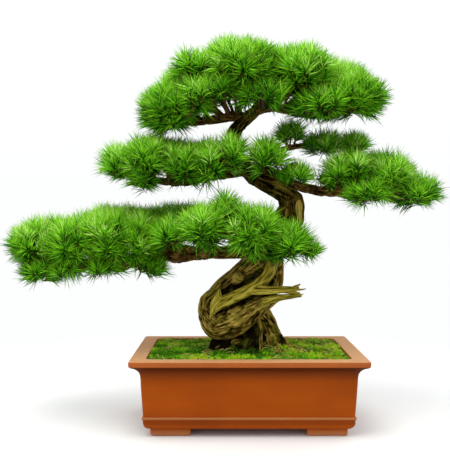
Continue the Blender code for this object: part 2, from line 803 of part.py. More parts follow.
def cloud(centre, floor: float, lobes, grow: float = 0.0) -> bmesh.types.BMesh:
    """A closed mass of needles: round lobes seen from its middle, flat below."""
    middle = Vector(centre)
    rings = []
    for ring in range(1, PAD_RINGS):
        pitch = math.pi * ring / PAD_RINGS
        row = []
        for segment in range(PAD_SEGMENTS):
            turn = 2.0 * math.pi * segment / PAD_SEGMENTS
            way = Vector(
                (
                    math.sin(pitch) * math.cos(turn),
                    math.sin(pitch) * math.sin(turn),
                    math.cos(pitch) * 0.55,
                )
            ).normalized()
            row.append(outer_point(middle, way, floor, lobes, grow, ring + segment))
        rings.append(row)
    bm = bmesh.new()
    top = bm.verts.new(outer_point(middle, Vector((0, 0, 1)), floor, lobes, grow, 0))
    base = bm.verts.new(outer_point(middle, Vector((0, 0, -1)), floor, lobes, grow, 0))
    rows = [[bm.verts.new(point) for point in row] for row in rings]
    for i in range(PAD_SEGMENTS):
        j = (i + 1) % PAD_SEGMENTS
        bm.faces.new((top, rows[0][i], rows[0][j]))
        bm.faces.new((base, rows[-1][j], rows[-1][i]))
        for upper, lower in zip(rows, rows[1:]):
            bm.faces.new((upper[i], lower[i], lower[j], upper[j]))
    bmesh.ops.triangulate(bm, faces=bm.faces[:])
    return bm


def outer_point(middle: Vector, way: Vector, floor: float, lobes, grow: float, index: int):
    """Where a ray from the pad's middle leaves the farthest of its lobes."""
    best = 0.0
    for x, y, z, half_x, half_y, half_z in lobes:
        scale = Vector((1.0 / half_x, 1.0 / half_y, 1.0 / half_z))
        start = (middle - Vector((x, y, z))) * scale
        step = way * scale
        a = step.dot(step)
        b = start.dot(step)
        c = start.dot(start) - 1.0
        inner = b * b - a * c
        if inner >= 0.0:
            best = max(best, (-b + math.sqrt(inner)) / a)
    tuft = 1.0 + PAD_TUFT * math.sin(2.4 * index) * max(0.0, way.z + 0.3)
    point = middle + way * (best * tuft + grow)
    low = floor - grow
    if point.z < low:
        point.z = low + PAD_SQUASH * (point.z - low)
    return point


def box_of(bm: bmesh.types.BMesh) -> tuple[Vector, Vector]:
    """The lowest and highest corner of a bmesh."""
    xs, ys, zs = zip(*(vert.co for vert in bm.verts))
    return Vector((min(xs), min(ys), min(zs))), Vector((max(xs), max(ys), max(zs)))


def overlap(one, two) -> bool:
    """Whether two boxes share any space."""
    return all(one[0][k] < two[1][k] and two[0][k] < one[1][k] for k in range(3))


class Cutters:
    """Grown copies of pieces that are already placed, for later ones to clear."""

    def __init__(self, root) -> None:
        self.root = root
        self.made = []

    def add(self, group: str, bm: bmesh.types.BMesh) -> None:
        """Keep a grown copy as a hidden tool."""
        box = box_of(bm)
        tool = place(f"{group}_tool_{len(self.made)}", bm, self.root, None)
        self.made.append((group, box, tool))

    def cut(self, obj, box, groups) -> None:
        """Cut every kept copy of these groups that reaches into the box."""
        for group, tool_box, tool in self.made:
            if group in groups and overlap(box, tool_box):
                boolean(obj, tool, "DIFFERENCE")


def join_tubes(name: str, parts, root, kind: str):
    """One body from several tubes, given as (points, sides, steps, flute)."""
    first, *others = parts
    obj = place(name, tube(first[0], first[1], first[2], 0.0, first[3]), root, kind)
    for i, (points, sides, steps, flute) in enumerate(others):
        tool = place(f"{name}_join_{i}", tube(points, sides, steps, 0.0, flute), root, None)
        boolean(obj, tool, "UNION")
    return obj


def build_tree(root, cutters: Cutters) -> None:
    """Trunk, bleached deadwood and branches, each clear of the ones before."""
    dead_parts = [(points, BRANCH_SIDES, 2, 0.0) for points in DEADWOOD.values()]
    trunk_parts = [
        (SWEEP, TRUNK_SIDES, 2, 0.05),
        (STUMP, TRUNK_SIDES, 1, 0.05),
        (STRIP, BRANCH_SIDES, 1, 0.0),
        (HEARTWOOD, BRANCH_SIDES, 1, 0.0),
        (HEART_SPUR, BRANCH_SIDES, 1, 0.0),
        (SPLIT_END, TWIG_SIDES, 1, 0.0),
        (KNOB, BRANCH_SIDES, 1, 0.0),
    ]
    trunk_parts += [(points, ROOT_SIDES, 2, 0.0) for points in ROOTS.values()]
    join_tubes("deadwood", dead_parts, root, "deadwood")
    for points, sides, steps, flute in dead_parts:
        cutters.add("dead", tube(points, sides, steps, GROW, flute))
    trunk = join_tubes("trunk", trunk_parts, root, "trunk")
    for group, _, tool in cutters.made:
        if group == "dead":
            boolean(trunk, tool, "DIFFERENCE")
    for points, sides, steps, flute in trunk_parts:
        cutters.add("trunk", tube(points, sides, steps, GROW, flute))
    for name, stretches in BRANCHES.items():
        parts = [(points, BRANCH_SIDES, 2, 0.0) for points in stretches]
        branch = join_tubes(name, parts, root, "branch")
        boxes = [box_of(tube(*part)) for part in ((p, BRANCH_SIDES, 2, 0.0) for p in stretches)]
        low = Vector([min(box[0][k] for box in boxes) for k in range(3)])
        high = Vector([max(box[1][k] for box in boxes) for k in range(3)])
        cutters.cut(branch, (low, high), ("trunk", "dead", "branch"))
        for points, sides, steps, flute in parts:
            cutters.add("branch", tube(points, sides, steps, GROW, flute))


def build_pads(root, cutters: Cutters) -> None:
    """The pads of needles, each clear of the wood and of the pads before it."""
    for name, (centre, floor, lobes) in PADS.items():
        bm = cloud(centre, floor, lobes)
        box = box_of(bm)
        pad = place(name, bm, root, "foliage")
        cutters.cut(pad, box, ("trunk", "dead", "branch", "pad"))
        cutters.add("pad", cloud(centre, floor, lobes, PAD_GAP))


def build_ground(root, cutters: Cutters) -> None:
    """Soil and moss, both open round the trunk's foot and its roots."""
    shares = (0.3, 0.6, 0.85, 1.0)
    soil_low = GRAVEL_TOP + CLEARANCE
    soil = sheet(
        lambda x, y, edge: soil_low, lambda x, y, edge: ground(x, y), CLEARANCE, CLEARANCE, shares
    )
    soil_box = box_of(soil)
    soil_obj = place("soil", soil, root, "soil")
    cutters.cut(soil_obj, soil_box, ("trunk",))
    moss = sheet(
        lambda x, y, edge: ground(x, y) + CLEARANCE, moss_top, CLEARANCE, 2 * CLEARANCE, shares
    )
    moss_box = box_of(moss)
    moss_obj = place("moss", moss, root, "moss")
    cutters.cut(moss_obj, moss_box, ("trunk",))


def centre_on_base(root) -> None:
    """Move the whole model so that its box stands centred on the origin."""
    bpy.context.view_layer.update()
    graph = bpy.context.evaluated_depsgraph_get()
    corners = []
    for obj in bpy.context.scene.objects:
        if obj.type == "MESH" and not obj.hide_render:
            shape = obj.evaluated_get(graph)
            corners += [obj.matrix_world @ vert.co for vert in shape.data.vertices]
    xs, ys, zs = zip(*corners)
    root.location = (-(min(xs) + max(xs)) / 2, -(min(ys) + max(ys)) / 2, -min(zs))
    bpy.context.view_layer.update()
    print("moved by", tuple(round(value, 6) for value in root.location))


def main() -> None:
    """Clear the scene and build the bonsai."""
    for obj in list(bpy.data.objects):
        bpy.data.objects.remove(obj)
    root = bpy.data.objects.new("bonsai", None)
    bpy.context.scene.collection.objects.link(root)
    build_pot(root)
    for name, x in (("left", -DRAIN_X), ("right", DRAIN_X)):
        build_screen(f"drain_screen_{name}", x, root)
        build_clip(f"screen_clip_{name}", x, root)
    build_gravel(root)
    cutters = Cutters(root)
    build_tree(root, cutters)
    build_ground(root, cutters)
    build_pads(root, cutters)
    centre_on_base(root)


main()
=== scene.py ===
"""A potted pine bonsai: the visible tray, ground, wood and needles.

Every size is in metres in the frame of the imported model: +Z up and -Y towards
the viewer. Places given below are measured from the middle of the tray, on the
surface that its feet stand on, and each maker moves its mesh to where the
packed tray stands.
"""

import json
import logging
import math
import random
from collections.abc import Callable, Sequence
from dataclasses import dataclass, field
from enum import Enum

import bmesh
import bpy
import numpy as np
from mathutils import Matrix, Vector

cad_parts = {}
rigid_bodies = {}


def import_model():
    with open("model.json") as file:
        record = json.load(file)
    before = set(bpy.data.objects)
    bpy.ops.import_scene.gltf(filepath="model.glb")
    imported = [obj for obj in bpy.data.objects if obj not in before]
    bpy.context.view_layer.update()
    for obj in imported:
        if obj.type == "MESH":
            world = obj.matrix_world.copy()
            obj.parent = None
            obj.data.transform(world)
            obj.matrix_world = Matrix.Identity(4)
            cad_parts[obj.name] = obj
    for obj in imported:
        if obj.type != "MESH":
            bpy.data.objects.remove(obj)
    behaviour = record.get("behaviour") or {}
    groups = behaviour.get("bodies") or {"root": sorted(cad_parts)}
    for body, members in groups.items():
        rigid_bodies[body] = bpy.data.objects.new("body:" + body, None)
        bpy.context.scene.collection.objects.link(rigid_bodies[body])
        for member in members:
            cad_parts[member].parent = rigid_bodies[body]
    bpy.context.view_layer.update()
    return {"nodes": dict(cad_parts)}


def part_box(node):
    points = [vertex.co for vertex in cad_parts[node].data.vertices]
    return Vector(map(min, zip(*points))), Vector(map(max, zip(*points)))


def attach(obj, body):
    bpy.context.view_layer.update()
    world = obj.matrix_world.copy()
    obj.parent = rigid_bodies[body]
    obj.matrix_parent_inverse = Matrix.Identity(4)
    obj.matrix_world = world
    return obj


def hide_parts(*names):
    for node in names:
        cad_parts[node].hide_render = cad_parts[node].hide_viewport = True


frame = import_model()

log = logging.getLogger("bonsai")

BODY = "root"
TAU = 2.0 * math.pi
TWIST = 6.0  # radians that the trunk's grain turns in a metre
GOLDEN_TURN = 2.39996
SCRAMBLE = (73856093, 19349663, 83492791, 2654435761, 1274126177)  # for the random numbers in space
KEPT_BITS = 0x7FFFFFFF
Colour = tuple[float, float, float]
Path = Sequence[tuple[float, ...]]
Socket = bpy.types.NodeSocket


# ------------------------------------------------------------------- node trees


def maths(operation: str, swapped: bool = False) -> Callable:
    """Make a method that adds one Math node.

    Args:
        operation: Blender's name of the operation.
        swapped: Whether the other number comes first.

    Returns:
        The method.
    """

    def method(self: "Value", other: "Value | float") -> "Value":
        """Join this number with another."""
        pair = (other, self) if swapped else (self, other)
        return self.nodes.out("ShaderNodeMath", {"operation": operation}, dict(enumerate(pair)))

    return method


@dataclass
class Value:
    """What one node gives out, with ordinary arithmetic."""

    nodes: "Nodes"
    socket: Socket

    __add__ = __radd__ = maths("ADD")
    __sub__, __rsub__ = maths("SUBTRACT"), maths("SUBTRACT", True)
    __mul__ = __rmul__ = maths("MULTIPLY")
    __truediv__, __rtruediv__ = maths("DIVIDE"), maths("DIVIDE", True)
    __pow__, __rpow__ = maths("POWER"), maths("POWER", True)
    most, least = maths("MAXIMUM"), maths("MINIMUM")

    def step(self, low: float, high: float) -> "Value":
        """Ease from 0 to 1 as the value goes from low to high.

        Args:
            low: Value that gives 0.
            high: Value that gives 1.

        Returns:
            The eased value.
        """
        ends = {"Value": self, "From Min": low, "From Max": high}
        smooth = {"interpolation_type": "SMOOTHSTEP"}
        return self.nodes.out("ShaderNodeMapRange", smooth, ends, "Result")


@dataclass
class Nodes:
    """A node tree under work."""

    tree: bpy.types.NodeTree

    def node(self, kind: str, settings: dict, inputs: dict) -> bpy.types.Node:
        """Add one node.

        Args:
            kind: Blender's name of the node type.
            settings: Its settings; "stops" fills a ramp with (place, colour).
            inputs: Values or links for its sockets, by name or number.

        Returns:
            The node.
        """
        made = self.tree.nodes.new(kind)
        for key, value in settings.items():
            if key == "stops":
                self._fill(made.color_ramp, value)
            else:
                setattr(made, key, value)
        for key, value in inputs.items():
            self.feed(made.inputs[key], value)
        return made

    @staticmethod
    def _fill(ramp: bpy.types.ColorRamp, stops: Sequence[tuple[float, Colour]]) -> None:
        """Set a ramp's stops.

        Args:
            ramp: The ramp to fill.
            stops: Its places and colours, from first to last.
        """
        while len(ramp.elements) < len(stops):
            ramp.elements.new(1.0)
        for element, (spot, colour) in zip(ramp.elements, stops):
            element.position, element.color = spot, (*colour, 1.0)

    def out(
        self,
        kind: str,
        settings: dict | None = None,
        inputs: dict | None = None,
        output: int | str = 0,
    ) -> Value:
        """Add one node and take one of its outputs.

        Args:
            kind: Blender's name of the node type.
            settings: Its settings.
            inputs: Values or links for its sockets, by name or number.
            output: The output's name or number.

        Returns:
            The output.
        """
        return Value(self, self.node(kind, settings or {}, inputs or {}).outputs[output])

    def feed(self, socket: Socket, value: object) -> None:
        """Link or set one socket.

        Args:
            socket: The input to feed.
            value: An output, a number, a colour, a vector or anything it takes.
        """
        if isinstance(value, Value):
            self.tree.links.new(value.socket, socket)
        elif isinstance(value, tuple) and socket.type == "RGBA":
            socket.default_value = (*value[:3], 1.0)
        else:
            socket.default_value = value

    def vector(self, x: object = 0.0, y: object = 0.0, z: object = 0.0) -> Value:
        """Join three numbers in a vector."""
        return self.out("ShaderNodeCombineXYZ", {}, {0: x, 1: y, 2: z})

    def axes(self, where: Value) -> list[Value]:
        """Split a vector into its three numbers."""
        split = self.node("ShaderNodeSeparateXYZ", {}, {"Vector": where})
        return [Value(self, output) for output in split.outputs]


class Bench(Nodes):
    """A material under work: one Principled shader and what feeds it."""

    def __init__(self, name: str) -> None:
        """Start a material.

        Args:
            name: The material's name.
        """
        self.material = bpy.data.materials.new(name)
        self.material.use_nodes = True
        super().__init__(self.material.node_tree)
        self.shader = self.tree.nodes["Principled BSDF"]

    def place(self) -> Value:
        """Give the object's own coordinates."""
        return self.out("ShaderNodeTexCoord", output="Object")

    def stretched(self, where: Value, scale: Colour) -> Value:
        """Scale coordinates along each axis."""
        return self.out("ShaderNodeMapping", {}, {"Vector": where, "Scale": scale})

    def fibres(self, stretch: float) -> Value:
        """Give coordinates that run along the wood, drawn out lengthwise."""
        run = self.out("ShaderNodeAttribute", {"attribute_name": "fibre"}, output="Vector")
        return self.stretched(run, (1.0, 1.0, 1.0 / stretch))

    def grain(
        self, scale: float, detail: float = 3.0, where: Value | None = None, rough: float = 0.5
    ) -> Value:
        """Add cloudy noise.

        Args:
            scale: Cells per metre.
            detail: Octaves.
            where: Coordinates, or the object's own.
            rough: How strong each finer octave is.

        Returns:
            Noise from 0 to 1.
        """
        look = {"Scale": scale, "Detail": detail, "Roughness": rough}
        return self.out("ShaderNodeTexNoise", {}, {"Vector": where or self.place(), **look}, "Fac")

    def cells(self, scale: float) -> Value:
        """Add the distance to the nearest of points, so many to a metre."""
        spots = {"Vector": self.place(), "Scale": scale}
        return self.out("ShaderNodeTexVoronoi", {}, spots, "Distance")

    def attribute(self, name: str) -> Value:
        """Read a number stored on the mesh."""
        return self.out("ShaderNodeAttribute", {"attribute_name": name}, output="Fac")

    def mix(self, share: object, first: object, second: object) -> Value:
        """Mix two colours, with a share of the second from 0 to 1."""
        return self.out("ShaderNodeMix", {"data_type": "RGBA"}, {0: share, 6: first, 7: second}, 2)

    def coats(self, colour: object, coats: Sequence[tuple[object, object]]) -> Value:
        """Lay coats of colour over a first colour.

        Args:
            colour: What lies under them.
            coats: Each coat's share and colour, from the lowest to the top one.

        Returns:
            The colour on top.
        """
        for share, coat in coats:
            colour = self.mix(share, colour, coat)
        return colour

    def ramp(self, value: Value, stops: Sequence[tuple[float, Colour]]) -> Value:
        """Turn a number into a colour by a ramp's stops."""
        return self.out("ShaderNodeValToRGB", {"stops": stops}, {"Fac": value}, "Color")

    def done(
        self,
        height: Value | None = None,
        depth: float = 0.0,
        strength: float = 1.0,
        **values: object,
    ) -> bpy.types.Material:
        """Feed the shader and give the material.

        Args:
            height: Height of its bumps, from 0 to 1, where it has any.
            depth: How many metres a height of 1 stands for.
            strength: Blender's strength of the bumps.
            values: The shader's inputs; an underscore stands for a space.

        Returns:
            The material.
        """
        if height is not None:
            bumps = {"Height": height, "Distance": depth, "Strength": strength}
            values["Normal"] = self.out("ShaderNodeBump", {}, bumps)
        for key, value in values.items():
            self.feed(self.shader.inputs[key.replace("_", " ")], value)
        return self.material


# --------------------------------------------------------------------- finishes


@dataclass(frozen=True)
class Stoneware:
    """Unglazed fired clay, wiped smooth, with dust and painted sheen on its edges, a painted
    highlight on its rib, and painted shade under its lip and over its feet.
    """

    clay: Colour = (0.335, 0.060, 0.0006)
    dark: Colour = (0.200, 0.030, 0.0003)
    # Pale dust colour, which on the lip and rib also serves as painted sheen and a painted
    # highlight.
    dust: Colour = (0.640, 0.400, 0.190)
    # Painted shade: the colour laid under the lip's overhang and on the base over the feet.
    shade: Colour = (0.050, 0.008, 0.0003)

    def make(self) -> bpy.types.Material:
        """Build the material.

        Returns:
            The material.
        """
        bench = Bench("stoneware")
        cloud, speck = bench.grain(9.0, 4.0), bench.grain(900.0, 2.0)
        wipe = bench.grain(30.0, 3.0, bench.stretched(bench.place(), (0.22, 0.22, 1.0)))
        dust, high = bench.attribute("dust"), bench.axes(bench.place())[2]
        # The stored mask lays dust together with a painted reflection on the lip and a painted
        # highlight on the rib.
        dust_and_sheen_film = dust * (0.72 + 0.4 * (bench.grain(60.0, 4.0) - 0.5))
        # Painted shadow under the lip's overhang, and painted shade on the base just over the feet.
        painted_shadow_under_lip = high.step(0.092, 0.136) ** 1.5 * (1.0 - high.step(0.1368, 0.1385))
        painted_shade_over_foot = high.step(0.0225, 0.026) * (1.0 - high.step(0.030, 0.043))
        body = bench.coats(
            self.dark,
            [
                ((cloud * 0.55 + wipe * 0.45).step(0.30, 0.72), self.clay),
                (0.45, self.clay),
                (speck.step(0.62, 0.74) * 0.28, self.dark),
                ((1.0 - speck).step(0.64, 0.76) * 0.14, self.dust),
                (dust_and_sheen_film.least(1.0), self.dust),
                # Painted shadow under the lip, then painted shade over the feet.
                (painted_shadow_under_lip * 0.92, self.shade),
                (painted_shade_over_foot * 0.34, self.shade),
            ],
        )
        rough = 0.46 + 0.16 * cloud + 0.10 * dust
        bumps = (speck * 0.6 + wipe * 0.4, 0.00025, 0.6)
        return bench.done(*bumps, Base_Color=body, Roughness=rough, Specular_IOR_Level=0.07)


@dataclass(frozen=True)
class Bark:
    """Fissured bark: pale ridges, dark cracks and a green bloom."""

    name: str
    ridge: Colour
    flank: Colour
    crack: Colour
    bloom: Colour
    bloom_share: float

    def make(self) -> bpy.types.Material:
        """Build the material.

        Returns:
            The material.
        """
        bench = Bench(self.name)
        fibre = bench.grain(240.0, 4.0, bench.fibres(8.0), 0.6)
        fine, wide = bench.grain(640.0), bench.grain(38.0)
        height = bench.attribute("relief") + (fibre - 0.5) * 1.80
        height = height + (fine - 0.5) * 0.25 + (wide - 0.5) * 0.22
        stops = [(0.06, self.crack), (0.40, self.flank), (1.00, self.ridge)]
        moss = bench.grain(52.0, 4.0).step(0.50, 0.68) * self.bloom_share
        colour = bench.mix(moss, bench.ramp(height, stops), self.bloom)
        rough = 0.92 - 0.22 * height
        bumps = (fibre * 0.8 + fine * 0.2, 0.0022, 0.8)
        return bench.done(*bumps, Base_Color=colour, Roughness=rough, Specular_IOR_Level=0.06)


@dataclass(frozen=True)
class BleachedWood:
    """Barkless wood, polished by weather, with long grain lines."""

    pale: Colour = (0.430, 0.370, 0.060)
    body: Colour = (0.205, 0.165, 0.006)
    line: Colour = (0.026, 0.016, 0.001)

    def make(self) -> bpy.types.Material:
        """Build the material.

        Returns:
            The material.
        """
        bench = Bench("bleached_wood")
        relief, wide = bench.attribute("relief"), bench.grain(48.0)
        fine = bench.grain(520.0, 3.0, bench.fibres(12.0))
        height = relief + (fine - 0.5) * 0.50 + (wide - 0.5) * 0.40
        colour = bench.ramp(height, [(0.08, self.line), (0.40, self.body), (0.95, self.pale)])
        rough = 0.62 - 0.16 * relief
        bumps = (fine, 0.0008, 0.6)
        return bench.done(*bumps, Base_Color=colour, Roughness=rough, Specular_IOR_Level=0.08)


@dataclass(frozen=True)
class Leafage:
    """Needles or moss blades, coloured along and across their own map."""

    name: str
    stops: tuple[tuple[float, Colour], ...]
    foot: Colour
    tip: Colour
    roughness: float

    def make(self) -> bpy.types.Material:
        """Build the material.

        Returns:
            The material.
        """
        bench = Bench(self.name)
        chart = bench.out("ShaderNodeUVMap", {"uv_map": "OFBake"}, output="UV")
        tone, along, _ = bench.axes(chart)
        # The tone across the map carries painted light and shade from where each brush stands, and
        # the tips lighten with it.
        colour = bench.coats(
            bench.ramp(tone, self.stops),
            [
                ((1.0 - along).step(0.55, 1.0) * 0.82, self.foot),
                (along.step(0.50, 1.0) * (tone * 0.7 + 0.08), self.tip),
            ],
        )
        return bench.done(Base_Color=colour, Roughness=self.roughness, Specular_IOR_Level=0.08)


@dataclass(frozen=True)
class Carpet:
    """The ground between moss sprigs: green, yellow, bare brown and a painted shadow."""

    green: Colour = (0.030, 0.140, 0.002)
    yellow: Colour = (0.160, 0.240, 0.004)
    bare: Colour = (0.040, 0.024, 0.004)
    damp: Colour = (0.008, 0.010, 0.001)

    def make(self) -> bpy.types.Material:
        """Build the material, with a painted shadow round the trunk's foot.

        Returns:
            The material.
        """
        bench = Bench("moss_ground")
        x, y, _ = bench.axes(bench.place())
        patch = bench.grain(34.0, 4.0) * 0.6 + x.step(0.02, 0.16) * 0.55
        # Painted shadow: an oval round the trunk's foot is darkened.
        across, along = (x - 0.012) / 0.082, (y + 0.039) / 0.052
        shade = 1.0 - (across * across + along * along).step(0.35, 1.25)
        colour = bench.coats(
            self.green,
            [
                (patch.step(0.42, 0.72), self.yellow),
                (bench.grain(75.0, 5.0).step(0.56, 0.70) * 0.8, self.bare),
                (shade * 0.9, self.damp),
            ],
        )
        bumps = (bench.grain(520.0, 4.0), 0.0022, 0.9)
        return bench.done(*bumps, Base_Color=colour, Roughness=0.95, Specular_IOR_Level=0.05)


@dataclass(frozen=True)
class Granules:
    """Loose grains, such as soil and pumice, so many to a metre."""

    name: str
    light: Colour
    dark: Colour
    grains: float

    def make(self) -> bpy.types.Material:
        """Build the material.

        Returns:
            The material.
        """
        bench = Bench(self.name)
        cell = bench.cells(self.grains)
        mixed = cell * 0.8 + bench.grain(self.grains * 0.5, 4.0) * 0.6
        colour = bench.ramp(mixed, [(0.20, self.light), (0.90, self.dark)])
        return bench.done(1.0 - cell, 0.8 / self.grains, 0.9, Base_Color=colour, Roughness=0.95)


@dataclass(frozen=True)
class Plain:
    """A fine even finish, such as moulded plastic or wire."""

    name: str
    colour: Colour
    shade: Colour
    roughness: float
    metallic: float = 0.0
    scale: float = 300.0
    depth: float = 1e-4

    def make(self) -> bpy.types.Material:
        """Build the material.

        Returns:
            The material.
        """
        bench = Bench(self.name)
        cloud = bench.grain(self.scale, 4.0)
        colour = bench.mix(cloud.step(0.35, 0.65), self.shade, self.colour)
        rough = self.roughness + 0.12 * (cloud - 0.5)
        look = {"Base_Color": colour, "Roughness": rough, "Metallic": self.metallic}
        return bench.done(cloud, self.depth, 0.4, **look)


@dataclass(frozen=True)
class FadingFloor:
    """A pale studio floor that fades into the white surround."""

    colour: Colour = (0.800, 0.805, 0.800)
    fade: tuple[float, float] = (0.34, 1.20)

    def make(self) -> bpy.types.Material:
        """Build the material.

        Returns:
            The material.
        """
        bench = Bench("studio_floor")
        x, y, _ = bench.axes(bench.place())
        clear = 1.0 - ((x * x + y * y) ** 0.5).step(*self.fade)
        look = {"Base_Color": self.colour, "Roughness": 0.85, "Specular_IOR_Level": 0.1}
        return bench.done(Alpha=clear, **look)


class Finish(Enum):
    """The finishes that the plant and its tray are dressed in."""

    STONEWARE = Stoneware()
    TRUNK = Bark(
        "trunk_bark", (0.420, 0.310, 0.060), (0.105, 0.067, 0.006), (0.005, 0.003, 0.0005),
        (0.110, 0.115, 0.006), 0.50,
    )
    BRANCH = Bark(
        "branch_bark", (0.200, 0.110, 0.026), (0.050, 0.024, 0.004), (0.004, 0.002, 0.0005),
        (0.060, 0.060, 0.005), 0.30,
    )
    TWIG = Bark(
        "twig_bark", (0.140, 0.070, 0.026), (0.060, 0.026, 0.008), (0.012, 0.006, 0.002),
        (0.060, 0.050, 0.010), 0.25,
    )
    BLEACHED = BleachedWood()
    # The needles' ramp runs from painted shade at low tones to a whitish painted highlight at the
    # top, and the pads' tones carry painted light.
    NEEDLES = Leafage(
        "needles",
        (
            (0.00, (0.002, 0.012, 0.0003)),
            (0.25, (0.009, 0.060, 0.0006)),
            (0.50, (0.062, 0.330, 0.0016)),
            (0.74, (0.280, 0.700, 0.0160)),
            (1.00, (0.720, 0.950, 0.3200)),
        ),
        (0.008, 0.028, 0.0006),
        (0.190, 0.420, 0.0060),
        0.42,
    )
    MOSS = Leafage(
        "moss_sprigs",
        (
            (0.00, (0.005, 0.026, 0.001)),
            (0.35, (0.034, 0.230, 0.002)),
            (0.65, (0.150, 0.500, 0.004)),
            (1.00, (0.640, 0.680, 0.030)),
        ),
        (0.020, 0.034, 0.002),
        (0.420, 0.580, 0.020),
        0.70,
    )
    CARPET = Carpet()
    LITTER = Plain("dry_litter", (0.560, 0.500, 0.120), (0.230, 0.130, 0.020), 0.8)
    SOIL = Granules("soil_grains", (0.120, 0.078, 0.045), (0.020, 0.012, 0.006), 260.0)
    GRAVEL = Granules("pumice_grains", (0.480, 0.390, 0.280), (0.090, 0.065, 0.040), 150.0)
    MESH = Plain("mesh_plastic", (0.030, 0.034, 0.030), (0.014, 0.016, 0.014), 0.5)
    WIRE = Plain("soft_wire", (0.520, 0.520, 0.530), (0.360, 0.355, 0.350), 0.34, 1.0, 420.0, 5e-5)
    FLOOR = FadingFloor()

    @property
    def material(self) -> bpy.types.Material:
        """The finish's material, made when first asked for."""
        if self.name not in _MADE:
            _MADE[self.name] = self.value.make()
        return _MADE[self.name]


_MADE: dict[str, bpy.types.Material] = {}


# ------------------------------------------------------------------ mesh makers


def noise(where: np.ndarray, seed: int = 0) -> np.ndarray:
    """Smooth random numbers in space.

    Args:
        where: Points, with their three numbers along the last axis.
        seed: Which noise.

    Returns:
        A number from 0 to 1 for each point.
    """
    base = np.floor(where).astype(np.int64)
    part = where - base
    part = part * part * (3.0 - 2.0 * part)
    total = np.zeros(where.shape[:-1])
    for corner in range(8):
        bits = np.array([(corner >> k) & 1 for k in range(3)])
        mixed = np.bitwise_xor.reduce((base + bits) * np.array(SCRAMBLE[:3]), axis=-1)
        mixed = (mixed ^ (seed * SCRAMBLE[3])) & KEPT_BITS
        mixed = (mixed ^ (mixed >> 13)) * SCRAMBLE[4] & KEPT_BITS
        mixed = (mixed ^ (mixed >> 16)) & 0xFFFF
        total += np.prod(np.where(bits, part, 1.0 - part), axis=-1) * mixed / 0xFFFF
    return total


def layered(where: np.ndarray, octaves: int, seed: int = 0) -> np.ndarray:
    """Sum finer and finer noise.

    Args:
        where: Points, with their three numbers along the last axis.
        octaves: How many layers.
        seed: Which noise.

    Returns:
        A number from 0 to 1 for each point.
    """
    sizes = [0.5**octave for octave in range(octaves)]
    layers = (size * noise(where / size, seed + i) for i, size in enumerate(sizes))
    return sum(layers) / sum(sizes)


def ease(value: np.ndarray, low: float, high: float) -> np.ndarray:
    """Ease from 0 to 1 as a value goes from low to high."""
    part = np.clip((value - low) / (high - low), 0.0, 1.0)
    return part * part * (3.0 - 2.0 * part)


def middle_of_tray() -> Vector:
    """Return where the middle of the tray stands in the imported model."""
    low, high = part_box("pot")
    return Vector(((low[0] + high[0]) / 2, (low[1] + high[1]) / 2, 0.0))


def put(name: str, data: bpy.types.ID) -> bpy.types.Object:
    """Make an object and put it in the scene.

    Args:
        name: The object's name.
        data: The mesh, lamp or camera that it holds.

    Returns:
        The object.
    """
    made = bpy.data.objects.new(name, data)
    bpy.context.scene.collection.objects.link(made)
    return made


def evaluated(piece: bpy.types.Object) -> bpy.types.Mesh:
    """Apply a piece's modifiers.

    Args:
        piece: The piece, which keeps its modifiers.

    Returns:
        A new mesh of what they make of it.
    """
    bpy.context.view_layer.update()
    graph = bpy.context.evaluated_depsgraph_get()
    return bpy.data.meshes.new_from_object(piece.evaluated_get(graph))


def store(mesh: bpy.types.Mesh, name: str, values: Sequence, kind: str = "FLOAT") -> None:
    """Store a number or a vector for each point of a mesh.

    Args:
        mesh: The mesh.
        name: What they are stored under.
        values: One for each point.
        kind: Blender's name of their data type.
    """
    stored = mesh.attributes.new(name, kind, "POINT")
    flat = np.asarray(values, dtype=np.int32 if kind == "INT" else np.float32).ravel()
    stored.data.foreach_set("vector" if kind == "FLOAT_VECTOR" else "value", flat)


@dataclass
class Skin:
    """A mesh in the making: points, faces and one number for each point."""

    points: np.ndarray
    faces: list[tuple[int, ...]]
    relief: np.ndarray
    fibre: np.ndarray | None = None

    @staticmethod
    def joined(skins: Sequence["Skin"]) -> "Skin":
        """Put several closed skins in one.

        Args:
            skins: The skins.

        Returns:
            One skin with all of them.
        """
        faces, base = [], 0
        for skin in skins:
            faces += [tuple(i + base for i in face) for face in skin.faces]
            base += len(skin.points)
        fibres = [skin.points if skin.fibre is None else skin.fibre for skin in skins]
        points, relief = [skin.points for skin in skins], [skin.relief for skin in skins]
        return Skin(np.concatenate(points), faces, np.concatenate(relief), np.concatenate(fibres))

    def object(self, name: str, finish: Finish) -> bpy.types.Object:
        """Make the object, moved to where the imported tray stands.

        Args:
            name: The piece's name.
            finish: What it is dressed in.

        Returns:
            The new object.
        """
        mesh = bpy.data.meshes.new(name)
        mesh.from_pydata((self.points + np.array(middle_of_tray())).tolist(), [], self.faces)
        store(mesh, "relief", self.relief)
        if self.fibre is not None:
            store(mesh, "fibre", self.fibre, "FLOAT_VECTOR")
        mesh.shade_smooth()
        mesh.materials.append(finish.material)
        mesh.validate()
        return put(name, mesh)


def announce(piece: bpy.types.Object, slot: str, *nodes: str) -> None:
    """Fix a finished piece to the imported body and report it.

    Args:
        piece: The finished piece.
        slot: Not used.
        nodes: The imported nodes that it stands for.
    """
    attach(piece, BODY)
    if nodes:
        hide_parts(*nodes)
    log.info("%s: %d faces", piece.name, len(piece.data.polygons))


def clad(name: str, skins: Sequence[Skin], finish: Finish, slot: str, *nodes: str) -> None:
    """Join skins in one piece, dress it and announce it."""
    announce(Skin.joined(skins).object(name, finish), slot, *nodes)


def lengths_along(line: np.ndarray) -> np.ndarray:
    """Distance along a path at each of its points."""
    return np.concatenate([[0.0], np.cumsum(np.linalg.norm(np.diff(line, axis=0), axis=1))])


